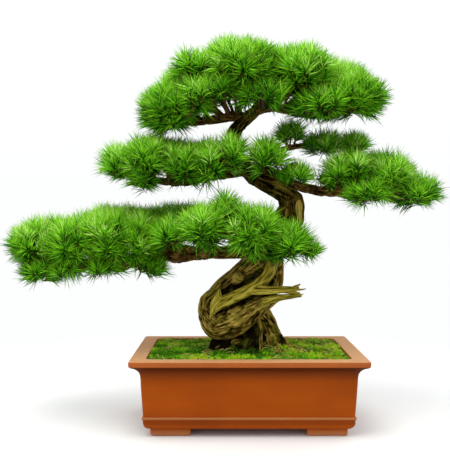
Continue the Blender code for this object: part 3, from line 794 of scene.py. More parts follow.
def along_path(stations: Path, spacing: float) -> tuple[np.ndarray, np.ndarray]:
    """Points and radii spaced evenly along a smooth path.

    Args:
        stations: (x, y, z, radius) along the path.
        spacing: Distance between points.

    Returns:
        The points and their radii.
    """
    knots = np.array(stations, dtype=float)
    last, steps = len(knots) - 1, 24
    t = (np.arange(steps) / steps)[:, None]
    dense = []
    for i in range(last):
        a, b = knots[max(i - 1, 0)], knots[i]
        c, d = knots[i + 1], knots[min(i + 2, last)]
        square = t**2 * (a - 2.5 * b + 2.0 * c - 0.5 * d)
        dense.append(b + 0.5 * t * (c - a) + square + t**3 * (1.5 * (b - c) + 0.5 * (d - a)))
    dense = np.concatenate([*dense, knots[-1:]])
    reach = lengths_along(dense[:, :3])
    count = max(3, int(round(reach[-1] / spacing)) + 1)
    spots = np.linspace(0.0, reach[-1], count)
    line = np.stack([np.interp(spots, reach, dense[:, k]) for k in range(4)], axis=1)
    return line[:, :3], line[:, 3]


def frames_along(line: np.ndarray) -> tuple[np.ndarray, np.ndarray]:
    """Directions across a path that turn as little as they can.

    Args:
        line: Points along the path.

    Returns:
        Two unit directions across the path at each point.
    """
    ahead = np.gradient(line, axis=0)
    ahead /= np.linalg.norm(ahead, axis=1)[:, None]
    guide = np.array([0.0, 1.0, 0.0]) if abs(ahead[0, 1]) < 0.9 else np.array([1.0, 0.0, 0.0])
    first = np.empty_like(line)
    for i, way in enumerate(ahead):
        guide = guide - way * guide.dot(way)
        guide = guide / np.linalg.norm(guide)
        first[i] = guide
    return first, np.cross(ahead, first)


def quads(rings: int, sides: int) -> list[tuple[int, ...]]:
    """Skin closed rings of points one to the next.

    Args:
        rings: How many rings.
        sides: Points in each ring.

    Returns:
        The faces, as numbers of points.
    """
    pairs = [(j, (j + 1) % sides) for j in range(sides)]
    rows = [(i * sides, (i + 1) * sides) for i in range(rings - 1)]
    return [(low + j, low + k, high + k, high + j) for low, high in rows for j, k in pairs]


def stack(rings: Sequence[np.ndarray]) -> Skin:
    """Skin closed rings one to the next and cap both ends.

    Args:
        rings: Rings of equal length, from one end to the other.

    Returns:
        The closed skin.
    """
    count, points = len(rings[0]), np.concatenate(rings)
    caps = tuple(reversed(range(count))), tuple(range(len(points) - count, len(points)))
    return Skin(points, [caps[0], *quads(len(rings), count), caps[1]], np.zeros(len(points)))


def level(ring: np.ndarray, z: float) -> np.ndarray:
    """Lift a flat ring of points to a height."""
    return np.column_stack([ring, np.full(len(ring), z)])


class Texture(Enum):
    """How the surface of a stretch of wood is worked."""

    OLD_BARK = "old bark"
    YOUNG_BARK = "young bark"
    BLEACHED = "bleached"
    TWIG = "twig"


@dataclass(frozen=True)
class Wood:
    """A stretch of wood: a path with radii and the way its surface is worked."""

    stations: Path
    texture: Texture
    sides: int
    spacing: float
    seed: int = 0
    dim: float = 0.0
    upper_dim: float = 0.0

    def skin(self) -> Skin:
        """Build the closed surface.

        Returns:
            The skin, its numbers giving the height of the bark's relief.
        """
        line, radii = along_path(self.stations, self.spacing)
        first, second = frames_along(line)
        turn = np.arange(self.sides) * TAU / self.sides
        turn, reach = np.meshgrid(turn, lengths_along(line))
        spiral = turn + reach * TWIST
        plain = radii[:, None] * np.ones_like(turn)
        push, relief = self._work(spiral, reach, plain)
        across = first[:, None] * np.cos(turn)[..., None]
        across = across + second[:, None] * np.sin(turn)[..., None]
        rings = line[:, None] + across * (plain + push)[..., None]
        points = np.concatenate([rings.reshape(-1, 3), line[:1], line[-1:]])
        fibre = np.stack([np.cos(spiral) * plain, np.sin(spiral) * plain, reach], axis=-1)
        fibre = fibre.reshape(-1, 3)
        fibre = np.concatenate([fibre, fibre[:1], fibre[-1:]]) + self.seed * 0.37
        relief = np.concatenate([relief.reshape(-1), relief[0, :1], relief[-1, :1]])
        relief = relief - self.dim - self.upper_dim * ease(points[:, 2], 0.360, 0.400)
        faces = quads(len(line), self.sides)
        end, top = len(points) - 1, len(points) - 2 - self.sides
        for j in range(self.sides):
            k = (j + 1) % self.sides
            faces += [(end - 1, k, j), (end, top + j, top + k)]
        return Skin(points, faces, np.clip(relief, -0.8, 1.0), fibre)

    def _work(
        self, spiral: np.ndarray, reach: np.ndarray, radius: np.ndarray
    ) -> tuple[np.ndarray, np.ndarray]:
        """Work the surface in and out.

        Args:
            spiral: Angle round the path at each point, carried on by the twist.
            reach: Distance along the path.
            radius: Plain radius.

        Returns:
            How far each point moves outwards, and the relief from 0 to 1.
        """

        def around(across: float, along: float, octaves: int, seed: int) -> np.ndarray:
            """Noise that closes round the path."""
            flat = [np.cos(spiral) * across, np.sin(spiral) * across, reach * along]
            return layered(np.stack(flat, axis=-1) + 31.7, octaves, self.seed + seed)

        def cracks(across: float, along: float, octaves: int, seed: int, wide: float) -> np.ndarray:
            """Give 1 on the ridges and 0 in the cracks between them."""
            return ease(np.abs(2.0 * around(across, along, octaves, seed) - 1.0), 0.0, wide)

        if self.texture is Texture.TWIG:
            relief = around(1.2, 160.0, 2, 3)
            return radius * 0.22 * (relief - 0.5), relief
        if self.texture is Texture.BLEACHED:
            flute = around(1.1, 9.0, 2, 5)
            cut = cracks(5.5, 10.0, 2, 9, 0.42)
            push = radius * (0.42 * (flute - 0.5)) + 0.0011 * (cut - 0.75)
            return push, 0.35 * flute + 0.65 * cut
        old = self.texture is Texture.OLD_BARK
        lobes = 0.5 + 0.5 * np.sin(4.0 * spiral + 1.3 * np.sin(reach * 22.0))
        crags = around(2.1, 26.0, 2, 11) if old else around(1.6, 45.0, 2, 11)
        cut = cracks(4.2, 30.0, 3, 17, 0.26) if old else cracks(2.6, 60.0, 3, 17, 0.26)
        scales = around(4.5, 150.0 if old else 190.0, 2, 23)
        depth = np.minimum(0.0044 if old else 0.0024, radius * 0.28)
        push = radius * 0.09 * (lobes - 0.5) + radius * 0.30 * (crags - 0.5)
        push = push + depth * (cut - 0.8) + depth * 0.5 * (scales - 0.5)
        return push, 0.66 * cut + 0.20 * scales + 0.14 * crags - 0.10


# ------------------------------------------------------------- where things run


def route(text: str) -> Path:
    """Read points in millimetres, as numbers apart by spaces, points by semicolons."""
    return [tuple(float(part) / 1000.0 for part in spot.split()) for spot in text.split(";")]


# Wood runs through x y z radius; a pad is its floor and its round masses,
# each as x y z and its three half sizes.
SWEEP = route(
    "78 -40 257 3.5; 58 -36 254 7.5; 34 -30 241 14.1; 9 -25 224 21.3; -17 -23 209 26.5; "
    "-42 -22 198 27.5; -65 -21 194 25; -80 -19 208 18; -89 -17 229 11.2; -86 -16 249 10; "
    "-70 -14 264 10; -52 -12 281 10.4; -30 -10 296 11.8; -9 -6 310 15.4; 12 0 323 23.2; "
    "29 6 337 32.3; 42 8 357 34.5; 60 10 386 31.5; 79 10 411 27; 89 12 437 23; 81 12 461 21.5; "
    "55 10 480 20; 18 5 500 18; -14 2 527 16; -31 0 560 15; -26 0 590 14; -3 0 616 13; "
    "22 2 642 11; 22 5 690 7"
)
STUMP = route(
    "54 0 98 30; 54 0 134 31; 53 0 160 24.5; 49 0 180 19; 39 -4 206 16.8; 28 -12 224 15.8; "
    "18 -18 236 12"
)
STRIP = route("58 2 362 12.5; 62 -4 325 11.3; 63 -8 303 10.8; 62 -14 283 10.2; 57 -18 268 9.2")
HEARTWOOD = route(
    "44 12 350 27; 37 14 319 26; 20 12 291 24.7; -6 10 268 27.5; -34 8 250 27; -58 2 236 24; "
    "-68 -4 220 17"
)
HEART_SPUR = route(
    "47 14 322 20.8; 47 12 291 20.8; 40 2 262 21; 16 -2 248 21; -8 4 238 17; -26 12 232 9"
)
KNOB = route("-28 -8 290 11.8; -21 -22 293 12.7; -18 -31 295 11")
ROOTS = {
    "right": route("58 -2 170 14; 76 -12 155 10.5; 98 -22 148 7; 120 -30 137 5"),
    "front": route("52 -8 170 13; 54 -30 153 9.5; 62 -54 146 6; 70 -72 136 4.5"),
    "left": route("46 -2 168 17; 16 -6 160 15; -16 -8 156 14; -48 -10 151 11; -76 -14 138 6"),
    "back": route("52 12 170 13; 46 40 154 9.5; 36 68 147 6.5; 28 88 136 4.5"),
    "aerial": route("18 -28 222 4.2; 25 -40 200 3.4; 26 -46 172 3; 27 -50 136 3.6"),
}
# Roots under the lower limb, made dark in the trunk as painted shade for the shadow beneath the
# limb.
UNDER_ROOTS = [
    route("40 6 168 17; 8 6 165 15; -24 4 160 14; -52 2 152 12; -74 0 138 8"),
    route("34 -10 170 12; 4 -22 158 11; -26 -24 150 9; -50 -26 138 6"),
    route("6 -14 176 9; -4 -26 164 8; -8 -36 150 6; -12 -44 138 4"),
    route("-36 -10 180 10; -44 -18 162 9; -52 -24 148 8; -60 -30 137 5"),
    route("-56 -6 176 10; -66 -10 160 9; -74 -14 146 7; -84 -20 137 4"),
    route("20 -12 196 9; 14 -26 176 7; 10 -36 156 5; 4 -46 138 3.5"),
    route("-19 -42 158 1.6; -19 -45 148 1.5; -18 -47 137 1.8"),
    route("60 -8 172 12; 68 -16 158 11; 74 -24 146 9; 79 -30 136 6"),
    route("32 4 206 18; 8 0 194 19; -18 -2 184 18; -46 -2 172 14"),
]
TORN_ENDS = [
    route("30 -38 247 9.5; 62 -45 256 6.8; 87 -49 259 5; 106 -51 260 2.2"),
    route("-57 -41 266 4; -63 -42 254 6.5; -68 -43 241 7.5; -72 -43 226 4; -74 -43 214 1.5"),
    route("-50 -41 252 9; -58 -42 246 10; -66 -43 236 8; -70 -43 224 4"),
    route("84 -55 274 4.2; 95 -57 280 2.6; 103 -58 284 0.9"),
    route("90 -56 273 3.2; 104 -58 273 1.6; 114 -59 275 0.6"),
    route("92 -55 266 3; 101 -56 262 1.9; 109 -56 264 0.7"),
]
DEADWOOD = {
    "strip": route(
        "47 -28 346 7.5; 48 -32 332 10.6; 46 -35 315 11.6; 36 -37 296 11.6; 17 -39 280 12; "
        "-7 -41 267 12; -32 -42 255 12.2; -52 -43 245 11.2; -64 -43 234 7.5; -70 -43 221 2.4"
    ),
    "jin": route(
        "8 -41 272 11; 28 -46 271 9.5; 48 -50 271 8; 70 -54 273 6.7; 88 -56 275 4.6; "
        "100 -57 278 2.4"
    ),
    "prong": route("67 -53 271 5; 87 -55 268 3.8; 103 -56 265 1.8"),
    "spur": route("-50 -42 246 8.5; -57 -41 258 6; -57 -40 272 2"),
}
BRANCHES = {
    "lower_left_branch": [route(
        "20 4 338 13; -18 -2 344 13.5; -60 -6 344 13; -105 -6 342 14.5; -140 -4 342 19.5; "
        "-172 -2 343 18; -206 2 332 13; -250 2 320 11; -302 0 314 9; -352 0 318 6.5; "
        "-402 0 332 4"
    )],
    "lower_front_branch": [
        route("50 0 386 12; 30 -40 392 10.5; -6 -70 392 9; -56 -84 388 7; -108 -86 386 4.5"),
        route("26 -44 392 8.5; 56 -66 386 7; 92 -74 376 4.5"),
    ],
    "lower_back_branch": [route(
        "60 16 392 11; 44 54 398 9; 10 88 398 7.5; -46 108 396 6; -96 116 400 4"
    )],
    "middle_left_branch": [route(
        "2 4 512 11; -40 2 506 10.5; -86 0 498 10; -130 0 488 9; -176 2 490 7; -222 2 502 5; "
        "-262 0 512 3.5"
    )],
    "middle_front_branch": [
        route("-16 0 532 8; -24 -34 530 6.5; -44 -56 526 5; -76 -64 526 3.5"),
        route("-24 -36 530 5; -4 -54 528 4.2; 12 -60 530 3.2"),
    ],
    "middle_right_branch": [route(
        "20 4 503 11; 44 0 509 10; 72 -4 494 9.5; 108 -6 478 9.5; 150 -6 469 10.5; "
        "188 -4 470 13; 214 0 462 10.5; 254 2 458 8.5; 300 2 462 6.5; 346 0 476 4"
    )],
    "right_front_branch": [route("68 -4 496 5.5; 80 -24 512 4.5; 92 -34 524 3")],
    "middle_back_branch": [route(
        "12 6 506 8.5; 34 36 534 7.5; 70 66 558 6.5; 106 80 568 6; 148 88 574 5; 196 92 580 3.5"
    )],
    "crown_left_branch": [route(
        "4 0 620 9.5; -34 -2 620 9; -76 -4 613 8.5; -114 -4 610 7.5; -144 0 622 6; -178 2 634 4"
    )],
    "crown_right_branch": [route(
        "16 2 632 10; 48 0 640 9.5; 78 -2 634 8.5; 108 -2 626 8; 146 0 624 7; 190 2 636 6; "
        "226 4 652 4"
    )],
}
PADS = {
    "crown_top_foliage": (0.644, route(
        "-106 -20 723 53 85 43; -17 -35 720 86 100 66; 7 70 728 108 90 54; "
        "105 -20 709 77 100 63; 26 -55 668 71 70 36; -53 -60 679 53 62 40; 52 -10 729 62 82 48"
    )),
    "crown_left_foliage": (0.594, route(
        "-154 -30 644 67 80 54; -180 -10 631 43 75 41; -133 60 685 73 75 51; "
        "-97 -40 671 54 75 42"
    )),
    "crown_right_foliage": (0.620, route(
        "209 -10 668 80 90 53; 139 -45 652 66 70 38; 185 75 713 91 80 48"
    )),
    "middle_left_foliage": (0.478, route(
        "-258 -5 537 45 75 39; -198 -30 541 56 85 54; -207 -45 508 40 60 34; "
        "-132 -20 532 61 85 47; -174 70 557 78 80 43; -84 70 553 65 75 39"
    )),
    "middle_front_foliage": (0.492, route(
        "-75 -50 534 48 58 46; -31 -62 548 39 50 49; 34 -52 545 48 50 40"
    )),
    "middle_back_foliage": (0.562, route(
        "95 85 613 41 52 28; 168 95 590 48 58 29; 235 90 583 46 55 28"
    )),
    "right_front_foliage": (0.490, route("95 -38 511 44 48 28")),
    "middle_right_foliage": (0.444, route(
        "211 -20 520 43 75 51; 278 -20 508 49 85 53; 337 -5 482 60 80 37; 166 -20 500 24 45 22; "
        "277 70 522 86 78 43; 237 -50 482 56 60 34; 179 -30 517 40 55 40"
    )),
    "lower_left_foliage": (0.304, route(
        "-341 -40 374 64 95 60; -269 -30 382 69 100 63; -217 -10 377 57 90 68; "
        "-354 -40 324 48 70 30; -274 70 412 95 85 45; -289 -30 334 56 75 28; "
        "-203 -20 337 45 65 28"
    )),
    "left_tip_foliage": (0.286, route(
        "-427 -20 370 59 80 53; -410 -30 325 50 65 32; -401 60 391 73 80 39"
    )),
    "lower_front_foliage": (0.342, route(
        "-152 -60 394 47 75 38; -86 -78 406 57 80 49; -45 -60 438 34 60 40; 5 -85 399 64 78 56; "
        "80 -75 377 51 70 43; 118 -70 359 31 50 24; 45 -78 356 58 55 23"
    )),
    "lower_back_foliage": (0.370, route("-147 110 419 89 62 44; -40 112 415 71 58 42")),
}
# The tray's side up to its lip, and the edge under each foot: height and inset.
TRAY_SIDE = route(
    "14.4 34.5; 15.6 31; 18 28; 21.4 25.6; 25.4 24.4; 31.8 24.2; 32.8 23.3; 33.8 22.5; "
    "37.2 22.5; 38.2 23.5; 39.2 24.7; 60 23.3; 80 22; 100 20.8; 112 20.3; 118 19.7; "
    "122.5 18.3; 126.2 16; 129.2 13.3; 131.6 10.3; 133.4 7.3; 134.6 4.5; 135.3 2.8"
)
FOOT_EDGE = route("0 3; 0.6 1.8; 1.8 0.9; 4 0.4")
# Rings of the healed wound: share of its half sizes, and height over the bark.
WOUND_RINGS = [
    (0.12, 0.0026), (0.3, 0.0026), (0.5, 0.0027), (0.68, 0.0030), (0.8, 0.0040), (0.9, 0.0060),
    (1.0, 0.0066), (1.1, 0.0052), (1.2, 0.0010), (1.32, -0.0050), (1.45, -0.0120),
]


# ---------------------------------------------------------------- geometry trees


class Growth(Nodes):
    """A Geometry Nodes tree that is built, run once and taken off again."""

    def __init__(self, name: str, **inputs: str) -> None:
        """Start a tree that takes in and gives out one mesh.

        Args:
            name: The tree's name.
            inputs: The kind of socket of each further input, by its name.
        """
        super().__init__(bpy.data.node_groups.new(name, "GeometryNodeTree"))
        self.sockets: dict[str, str] = {}
        sockets = self.tree.interface
        for key, kind in {"Geometry": "Geometry", **inputs}.items():
            made = sockets.new_socket(key, in_out="INPUT", socket_type=f"NodeSocket{kind}")
            self.sockets[key] = made.identifier
        sockets.new_socket("Geometry", in_out="OUTPUT", socket_type="NodeSocketGeometry")
        self.start = self.tree.nodes.new("NodeGroupInput")
        self.end = self.tree.nodes.new("NodeGroupOutput")

    def given(self, name: str) -> Value:
        """Return a named input."""
        name = self.sockets[name]
        return Value(self, next(s for s in self.start.outputs if s.identifier == name))

    def chance(self, low: float, high: float, salt: int) -> Value:
        """Add a random number for each point.

        Args:
            low: Least value.
            high: Greatest value.
            salt: Added to the tree's seed.

        Returns:
            The number.
        """
        ends = {"Seed": self.given("Seed") + float(salt), 2: low, 3: high}
        return self.out("FunctionNodeRandomValue", {"data_type": "FLOAT"}, ends, 1)

    def stored(self, name: str, kind: str = "FLOAT") -> Value:
        """Read an attribute of the named data type."""
        return self.out("GeometryNodeInputNamedAttribute", {"data_type": kind}, {"Name": name})

    def store(self, geometry: Value, name: str, value: Value, kind: str, domain: str) -> Value:
        """Store an attribute.

        Args:
            geometry: The geometry to store it on.
            name: The attribute's name.
            value: Its value.
            kind: Its data type.
            domain: What it is stored for.

        Returns:
            The geometry.
        """
        settings = {"data_type": kind, "domain": domain}
        inputs = {"Geometry": geometry, "Name": name, "Value": value}
        return self.out("GeometryNodeStoreNamedAttribute", settings, inputs)

    def spread(self, points: Value, turns: Value, scale: Value, **picks: object) -> Value:
        """Put instances on points.

        Args:
            points: The points.
            turns: Euler turns, one for each point.
            scale: Sizes along each axis.
            picks: Further inputs; an underscore stands for a space.

        Returns:
            The instances.
        """
        turned = self.out("FunctionNodeEulerToRotation", {}, {0: turns})
        inputs = {"Points": points, "Rotation": turned, "Scale": scale}
        inputs |= {key.replace("_", " "): value for key, value in picks.items()}
        return self.out("GeometryNodeInstanceOnPoints", {}, inputs)

    def real(self, instances: Value) -> Value:
        """Turn instances into plain geometry."""
        return self.out("GeometryNodeRealizeInstances", {}, {"Geometry": instances})

    def finish(self, geometry: Value) -> "Growth":
        """Dress the last geometry and give it out.

        Args:
            geometry: The geometry.

        Returns:
            The finished tree.
        """
        inputs = {"Geometry": geometry, "Material": self.given("Material")}
        self.feed(self.end.inputs[0], self.out("GeometryNodeSetMaterial", {}, inputs))
        return self

    def run(self, name: str, seed_mesh: bpy.types.Mesh, **values: object) -> bpy.types.Object:
        """Run the tree on a mesh and keep the result as a plain mesh.

        Args:
            name: Name of the new object.
            seed_mesh: The mesh that goes in.
            values: The tree's inputs.

        Returns:
            The new object, with no modifier on it.
        """
        carrier = put(name + "_carrier", seed_mesh)
        modifier = carrier.modifiers.new("growth", "NODES")
        modifier.node_group = self.tree
        for key, value in values.items():
            modifier[self.sockets[key]] = value
        mesh = evaluated(carrier)
        mesh.name = name
        carrier.modifiers.clear()
        bpy.data.objects.remove(carrier)
        return put(name, mesh)


def brush_tree() -> Growth:
    """Build the tree that makes one brush of blades from one blade.

    Returns:
        The tree.
    """
    sizes = dict.fromkeys(("Length", "Width", "Lean", "Shoot"), "Float")
    tree = Growth("brush", Blades="Int", Seed="Int", Material="Material", **sizes)
    index = tree.out("GeometryNodeInputIndex")
    share = (index + 0.5) / tree.given("Blades")
    lean = share**0.62 * tree.given("Lean") * tree.chance(0.75, 1.15, 1)
    turn = index * GOLDEN_TURN + tree.chance(-0.5, 0.5, 2)
    along = tree.given("Shoot") * tree.chance(-1.0, 0.0, 3) * share
    length, width = tree.given("Length") * tree.chance(0.74, 1.06, 4), tree.given("Width")
    points = tree.out("GeometryNodePoints", {}, {"Count": tree.given("Blades")})
    places = {"Geometry": points, "Position": tree.vector(z=along)}
    moved = tree.out("GeometryNodeSetPosition", {}, places)
    size = tree.vector(width, width, length)
    placed = tree.spread(moved, tree.vector(lean, 0.0, turn), size, Instance=tree.given("Geometry"))
    shaded = tree.store(placed, "shade", tree.chance(0.0, 1.0, 5), "FLOAT", "INSTANCE")
    return tree.finish(tree.real(shaded))


def pad_tree() -> Growth:
    """Build the tree that sets brushes on spots and maps their colours.

    Returns:
        The tree.
    """
    tree = Growth("pad", Brushes="Collection", Share="Float", Material="Material")
    brushes = tree.out(
        "GeometryNodeCollectionInfo",
        {"transform_space": "ORIGINAL"},
        {"Collection": tree.given("Brushes"), "Separate Children": True, "Reset Children": True},
    )
    size, share = tree.stored("size"), tree.given("Share")
    placed = tree.spread(
        tree.given("Geometry"),
        tree.stored("turn", "FLOAT_VECTOR"),
        tree.vector(size, size, size),
        Instance=brushes,
        Pick_Instance=True,
        Instance_Index=tree.stored("pick", "INT"),
    )
    tone = tree.stored("tone") * share + tree.stored("shade") * (1.0 - share)
    across = tone.least(0.985).most(0.015) + tree.stored("side") * 0.004
    chart = tree.vector(across, tree.stored("along"))
    return tree.finish(tree.store(tree.real(placed), "OFBake", chart, "FLOAT2", "CORNER"))


def blade_mesh(name: str, bow: float, belly: float = 0.36) -> bpy.types.Mesh:
    """Make one closed blade, one unit long, with its foot at the origin.

    Args:
        name: The mesh's name.
        bow: How far its middle bends, in widths.
        belly: Where along it is widest.

    Returns:
        The blade, with "along" and "side" stored on its points.
    """
    mesh = bpy.data.meshes.new(name)
    turns = [k * TAU / 3 for k in range(3)]
    ring = [(0.5 * math.sin(turn), bow + 0.5 * math.cos(turn), belly) for turn in turns]
    faces = [(0, 1, 2), (0, 2, 3), (0, 3, 1), (4, 2, 1), (4, 3, 2), (4, 1, 3)]
    mesh.from_pydata([(0.0, -bow * 0.3, 0.0), *ring, (0.0, -bow, 1.0)], [], faces)
    store(mesh, "along", [0.0, belly, belly, belly, 1.0])
    store(mesh, "side", [0.0, -1.0, 0.0, 1.0, 0.0])
    mesh.shade_smooth()
    return mesh


@dataclass(frozen=True)
class Brush:
    """A bundle of blades that spring from one shoot."""

    blades: int
    length: float
    width: float
    lean: float
    shoot: float


@dataclass
class Spots:
    """Where brushes stand: feet, directions, sizes, tones, kinds and spins."""

    feet: np.ndarray
    aims: np.ndarray
    sizes: np.ndarray
    tones: np.ndarray
    picks: np.ndarray
    spins: np.ndarray

    def turns(self) -> np.ndarray:
        """Lay +Z along each aim, after a spin about it.

        Returns:
            Euler turns, one row for each spot.
        """
        turns = []
        for aim, spin in zip(self.aims, self.spins):
            lay = Vector(aim).to_track_quat("Z", "Y").to_matrix()
            turns.append(tuple((lay @ Matrix.Rotation(spin, 3, "Z")).to_euler("XYZ")))
        return np.array(turns)

    def part(self, chosen: np.ndarray) -> "Spots":
        """Keep some of the spots."""
        return Spots(*(values[chosen] for values in vars(self).values()))


class BrushSet:
    """A few different brushes, kept out of view, that are set out many times."""

    def __init__(self, name: str, kinds: Sequence[Brush], finish: Finish, bow: float) -> None:
        """Make the brushes.

        Args:
            name: What they are called.
            kinds: The brushes.
            finish: What they are dressed in.
            bow: How far a blade bends, in widths.
        """
        tree, self.pads, self.finish = brush_tree(), pad_tree(), finish
        self.collection = bpy.data.collections.new(name)
        for i, kind in enumerate(kinds):
            sizes = {key.capitalize(): value for key, value in vars(kind).items()}
            blade = blade_mesh(f"{name}_blade_{i}", bow)
            look = {"Seed": 11 * i + 5, "Material": finish.material}
            brush = tree.run(f"{name}_{i:02d}", blade, **sizes, **look)
            bpy.context.scene.collection.objects.unlink(brush)
            self.collection.objects.link(brush)

    def set_out(self, name: str, spots: Spots, share: float) -> bpy.types.Object:
        """Set brushes on spots.

        Args:
            name: Name of the new piece.
            spots: Where they go.
            share: How much of a blade's colour its whole brush decides.

        Returns:
            The piece.
        """
        mesh = bpy.data.meshes.new(name + "_spots")
        mesh.from_pydata((spots.feet + np.array(middle_of_tray())).tolist(), [], [])
        store(mesh, "turn", spots.turns(), "FLOAT_VECTOR")
        store(mesh, "size", spots.sizes)
        store(mesh, "tone", spots.tones)
        store(mesh, "pick", spots.picks, "INT")
        look = {"Brushes": self.collection, "Share": share, "Material": self.finish.material}
        piece = self.pads.run(name, mesh, **look)
        stored = piece.data.attributes
        for key in ("turn", "size", "tone", "pick", "shade", "side", "along"):
            if key in stored:
                stored.remove(stored[key])
        piece.data.shade_smooth()
        return piece

    def clear(self) -> None:
        """Remove the brushes that were copied from."""
        for brush in list(self.collection.objects):
            bpy.data.objects.remove(brush)
        bpy.data.collections.remove(self.collection)


# ------------------------------------------------------------------------ tray


def rounded(half_x: float, half_y: float, corner: float, steps: int) -> np.ndarray:
    """Points round a rectangle with rounded corners, anticlockwise.

    Args:
        half_x: Half its width.
        half_y: Half its depth.
        corner: Radius of its corners.
        steps: Steps round each corner.

    Returns:
        The points as rows of x and y.
    """
    points = []
    for quarter, (right, back) in enumerate(((1, 1), (-1, 1), (-1, -1), (1, -1))):
        x, y = right * (half_x - corner), back * (half_y - corner)
        for step in range(steps + 1):
            turn = math.pi / 2 * (quarter + step / steps)
            points.append((x + corner * math.cos(turn), y + corner * math.sin(turn)))
    return np.array(points)


@dataclass
class Tray:
    """The footed stoneware tray and what lies in it out of sight."""

    half: tuple[float, float] = (0.225, 0.150)
    height: float = 0.148
    foot: float = 0.0144
    floor: float = 0.0264
    lip: float = 0.030
    band: float = 0.0115
    rib_middle: float = 0.0365
    corner: float = 0.007
    inner_corner: float = 0.014
    taper: float = 0.006
    edge: float = 0.0022
    foot_middle: tuple[float, float] = (0.149, 0.0895)
    foot_half: tuple[float, float] = (0.039, 0.0235)
    drain_x: float = 0.085
    drain_radius: float = 0.011

    def profile(self) -> list[tuple[float, float, float]]:
        """Give the tray's section as (height, inset, corner radius).

        Returns:
            The section, up the outside, over the lip and down inside.
        """
        top, edge, inner = self.height, self.edge, self.lip + self.taper
        arc = [math.pi / 2 * step / 4 for step in range(5)]
        low = top - self.band + edge
        outside = list(TRAY_SIDE)
        outside += [(low - edge * math.cos(t), edge * (1.0 - math.sin(t))) for t in arc]
        outside += [(top - edge + edge * math.sin(t), edge * (1.0 - math.cos(t))) for t in arc]
        inside = [
            (top - edge * (1.0 - math.cos(t)), self.lip - edge * (1.0 - math.sin(t))) for t in arc
        ]
        inside += [(self.floor + 0.006, inner), (self.floor + 0.0015, inner + 0.002)]
        inside.append((self.floor, inner + 0.006))
        rows = [(z, inset, self.corner) for z, inset in outside]
        return rows + [(z, inset, self.inner_corner) for z, inset in inside]

    def build(self) -> None:
        """Make the tray: shell, four feet and two drain holes."""
        rings = []
        for z, inset, corner in self.profile():
            rings.append(level(rounded(self.half[0] - inset, self.half[1] - inset, corner, 8), z))
        shell = stack(rings).object("tray_shell", Finish.STONEWARE)
        turn = np.arange(32) * TAU / 32
        circle = self.drain_radius * np.column_stack([np.cos(turn), np.sin(turn)])
        tools = []
        for side in (-1, 1):
            tools += [("UNION", self._foot(side, end)) for end in (-1, 1)]
            ring = circle + np.array([side * self.drain_x, 0.0])
            tools.append(("DIFFERENCE", stack([level(ring, 0.0), level(ring, 0.06)])))
        tools = [(way, skin.object("tool", Finish.STONEWARE)) for way, skin in tools]
        for operation, tool in tools:
            cut = shell.modifiers.new("cut", "BOOLEAN")
            cut.operation, cut.solver, cut.object = operation, "EXACT", tool
        mesh = evaluated(shell)
        for piece in (shell, *(tool for _, tool in tools)):
            bpy.data.objects.remove(piece)
        self._soften(mesh)
        self._dust(mesh)
        announce(put("tray", mesh), "stoneware", "pot")

    def _foot(self, side: int, end: int) -> Skin:
        """Make one foot, drawn in a little at its edges.

        Args:
            side: -1 for left, 1 for right.
            end: -1 for front, 1 for back.

        Returns:
            The foot's skin.
        """
        centre = np.array([side * self.foot_middle[0], end * self.foot_middle[1]])
        rows = [*FOOT_EDGE, (self.foot + 0.004, 0.0)]
        half_x, half_y = self.foot_half
        return stack(
            [level(rounded(half_x - r, half_y - r, 0.004, 5) + centre, z) for z, r in rows]
        )

    @staticmethod
    def _soften(mesh: bpy.types.Mesh) -> None:
        """Shade smoothly between faces that meet at a blunt angle.

        Args:
            mesh: The tray's mesh.
        """
        work = bmesh.new()
        work.from_mesh(mesh)
        bmesh.ops.triangulate(work, faces=[f for f in work.faces if len(f.verts) > 4])
        work.to_mesh(mesh)
        work.free()
        mesh.shade_smooth()
        mesh.set_sharp_from_angle(angle=math.radians(32))

    def _dust(self, mesh: bpy.types.Mesh) -> None:
        """Store how much pale dust and painted sheen each point has: most on the lip's flat top,
        with a painted highlight on the rib.

        Args:
            mesh: The tray's mesh.
        """
        z, up = np.array([(v.co.z, v.normal.z) for v in mesh.vertices]).T
        band, flat = self.height - self.band, ease(up, 0.35, 0.8)
        # Dust and a painted reflection of the sky on the lip's flat top and on its sides.
        dust = 0.78 * flat * (z > self.height - 0.004)
        dust += 0.13 * ease(z, band - 0.001, band + 0.003) * (1.0 - flat)
        # A painted highlight along the rib.
        dust += 0.46 * (np.abs(z - self.rib_middle) < 0.0021)
        dust += 0.36 * (z < self.foot - 0.001)
        store(mesh, "dust", dust)

    @staticmethod
    def dress_filling() -> None:
        """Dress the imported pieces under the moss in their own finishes."""
        dresses = {
            "soil": Finish.SOIL,
            "drainage_gravel": Finish.GRAVEL,
            "drain_screen_left": Finish.MESH,
            "drain_screen_right": Finish.MESH,
            "screen_clip_left": Finish.WIRE,
            "screen_clip_right": Finish.WIRE,
        }
        for name, finish in dresses.items():
            materials = frame["nodes"][name].data.materials
            materials.clear()
            materials.append(finish.material)
            log.info("%s: dressed", name)


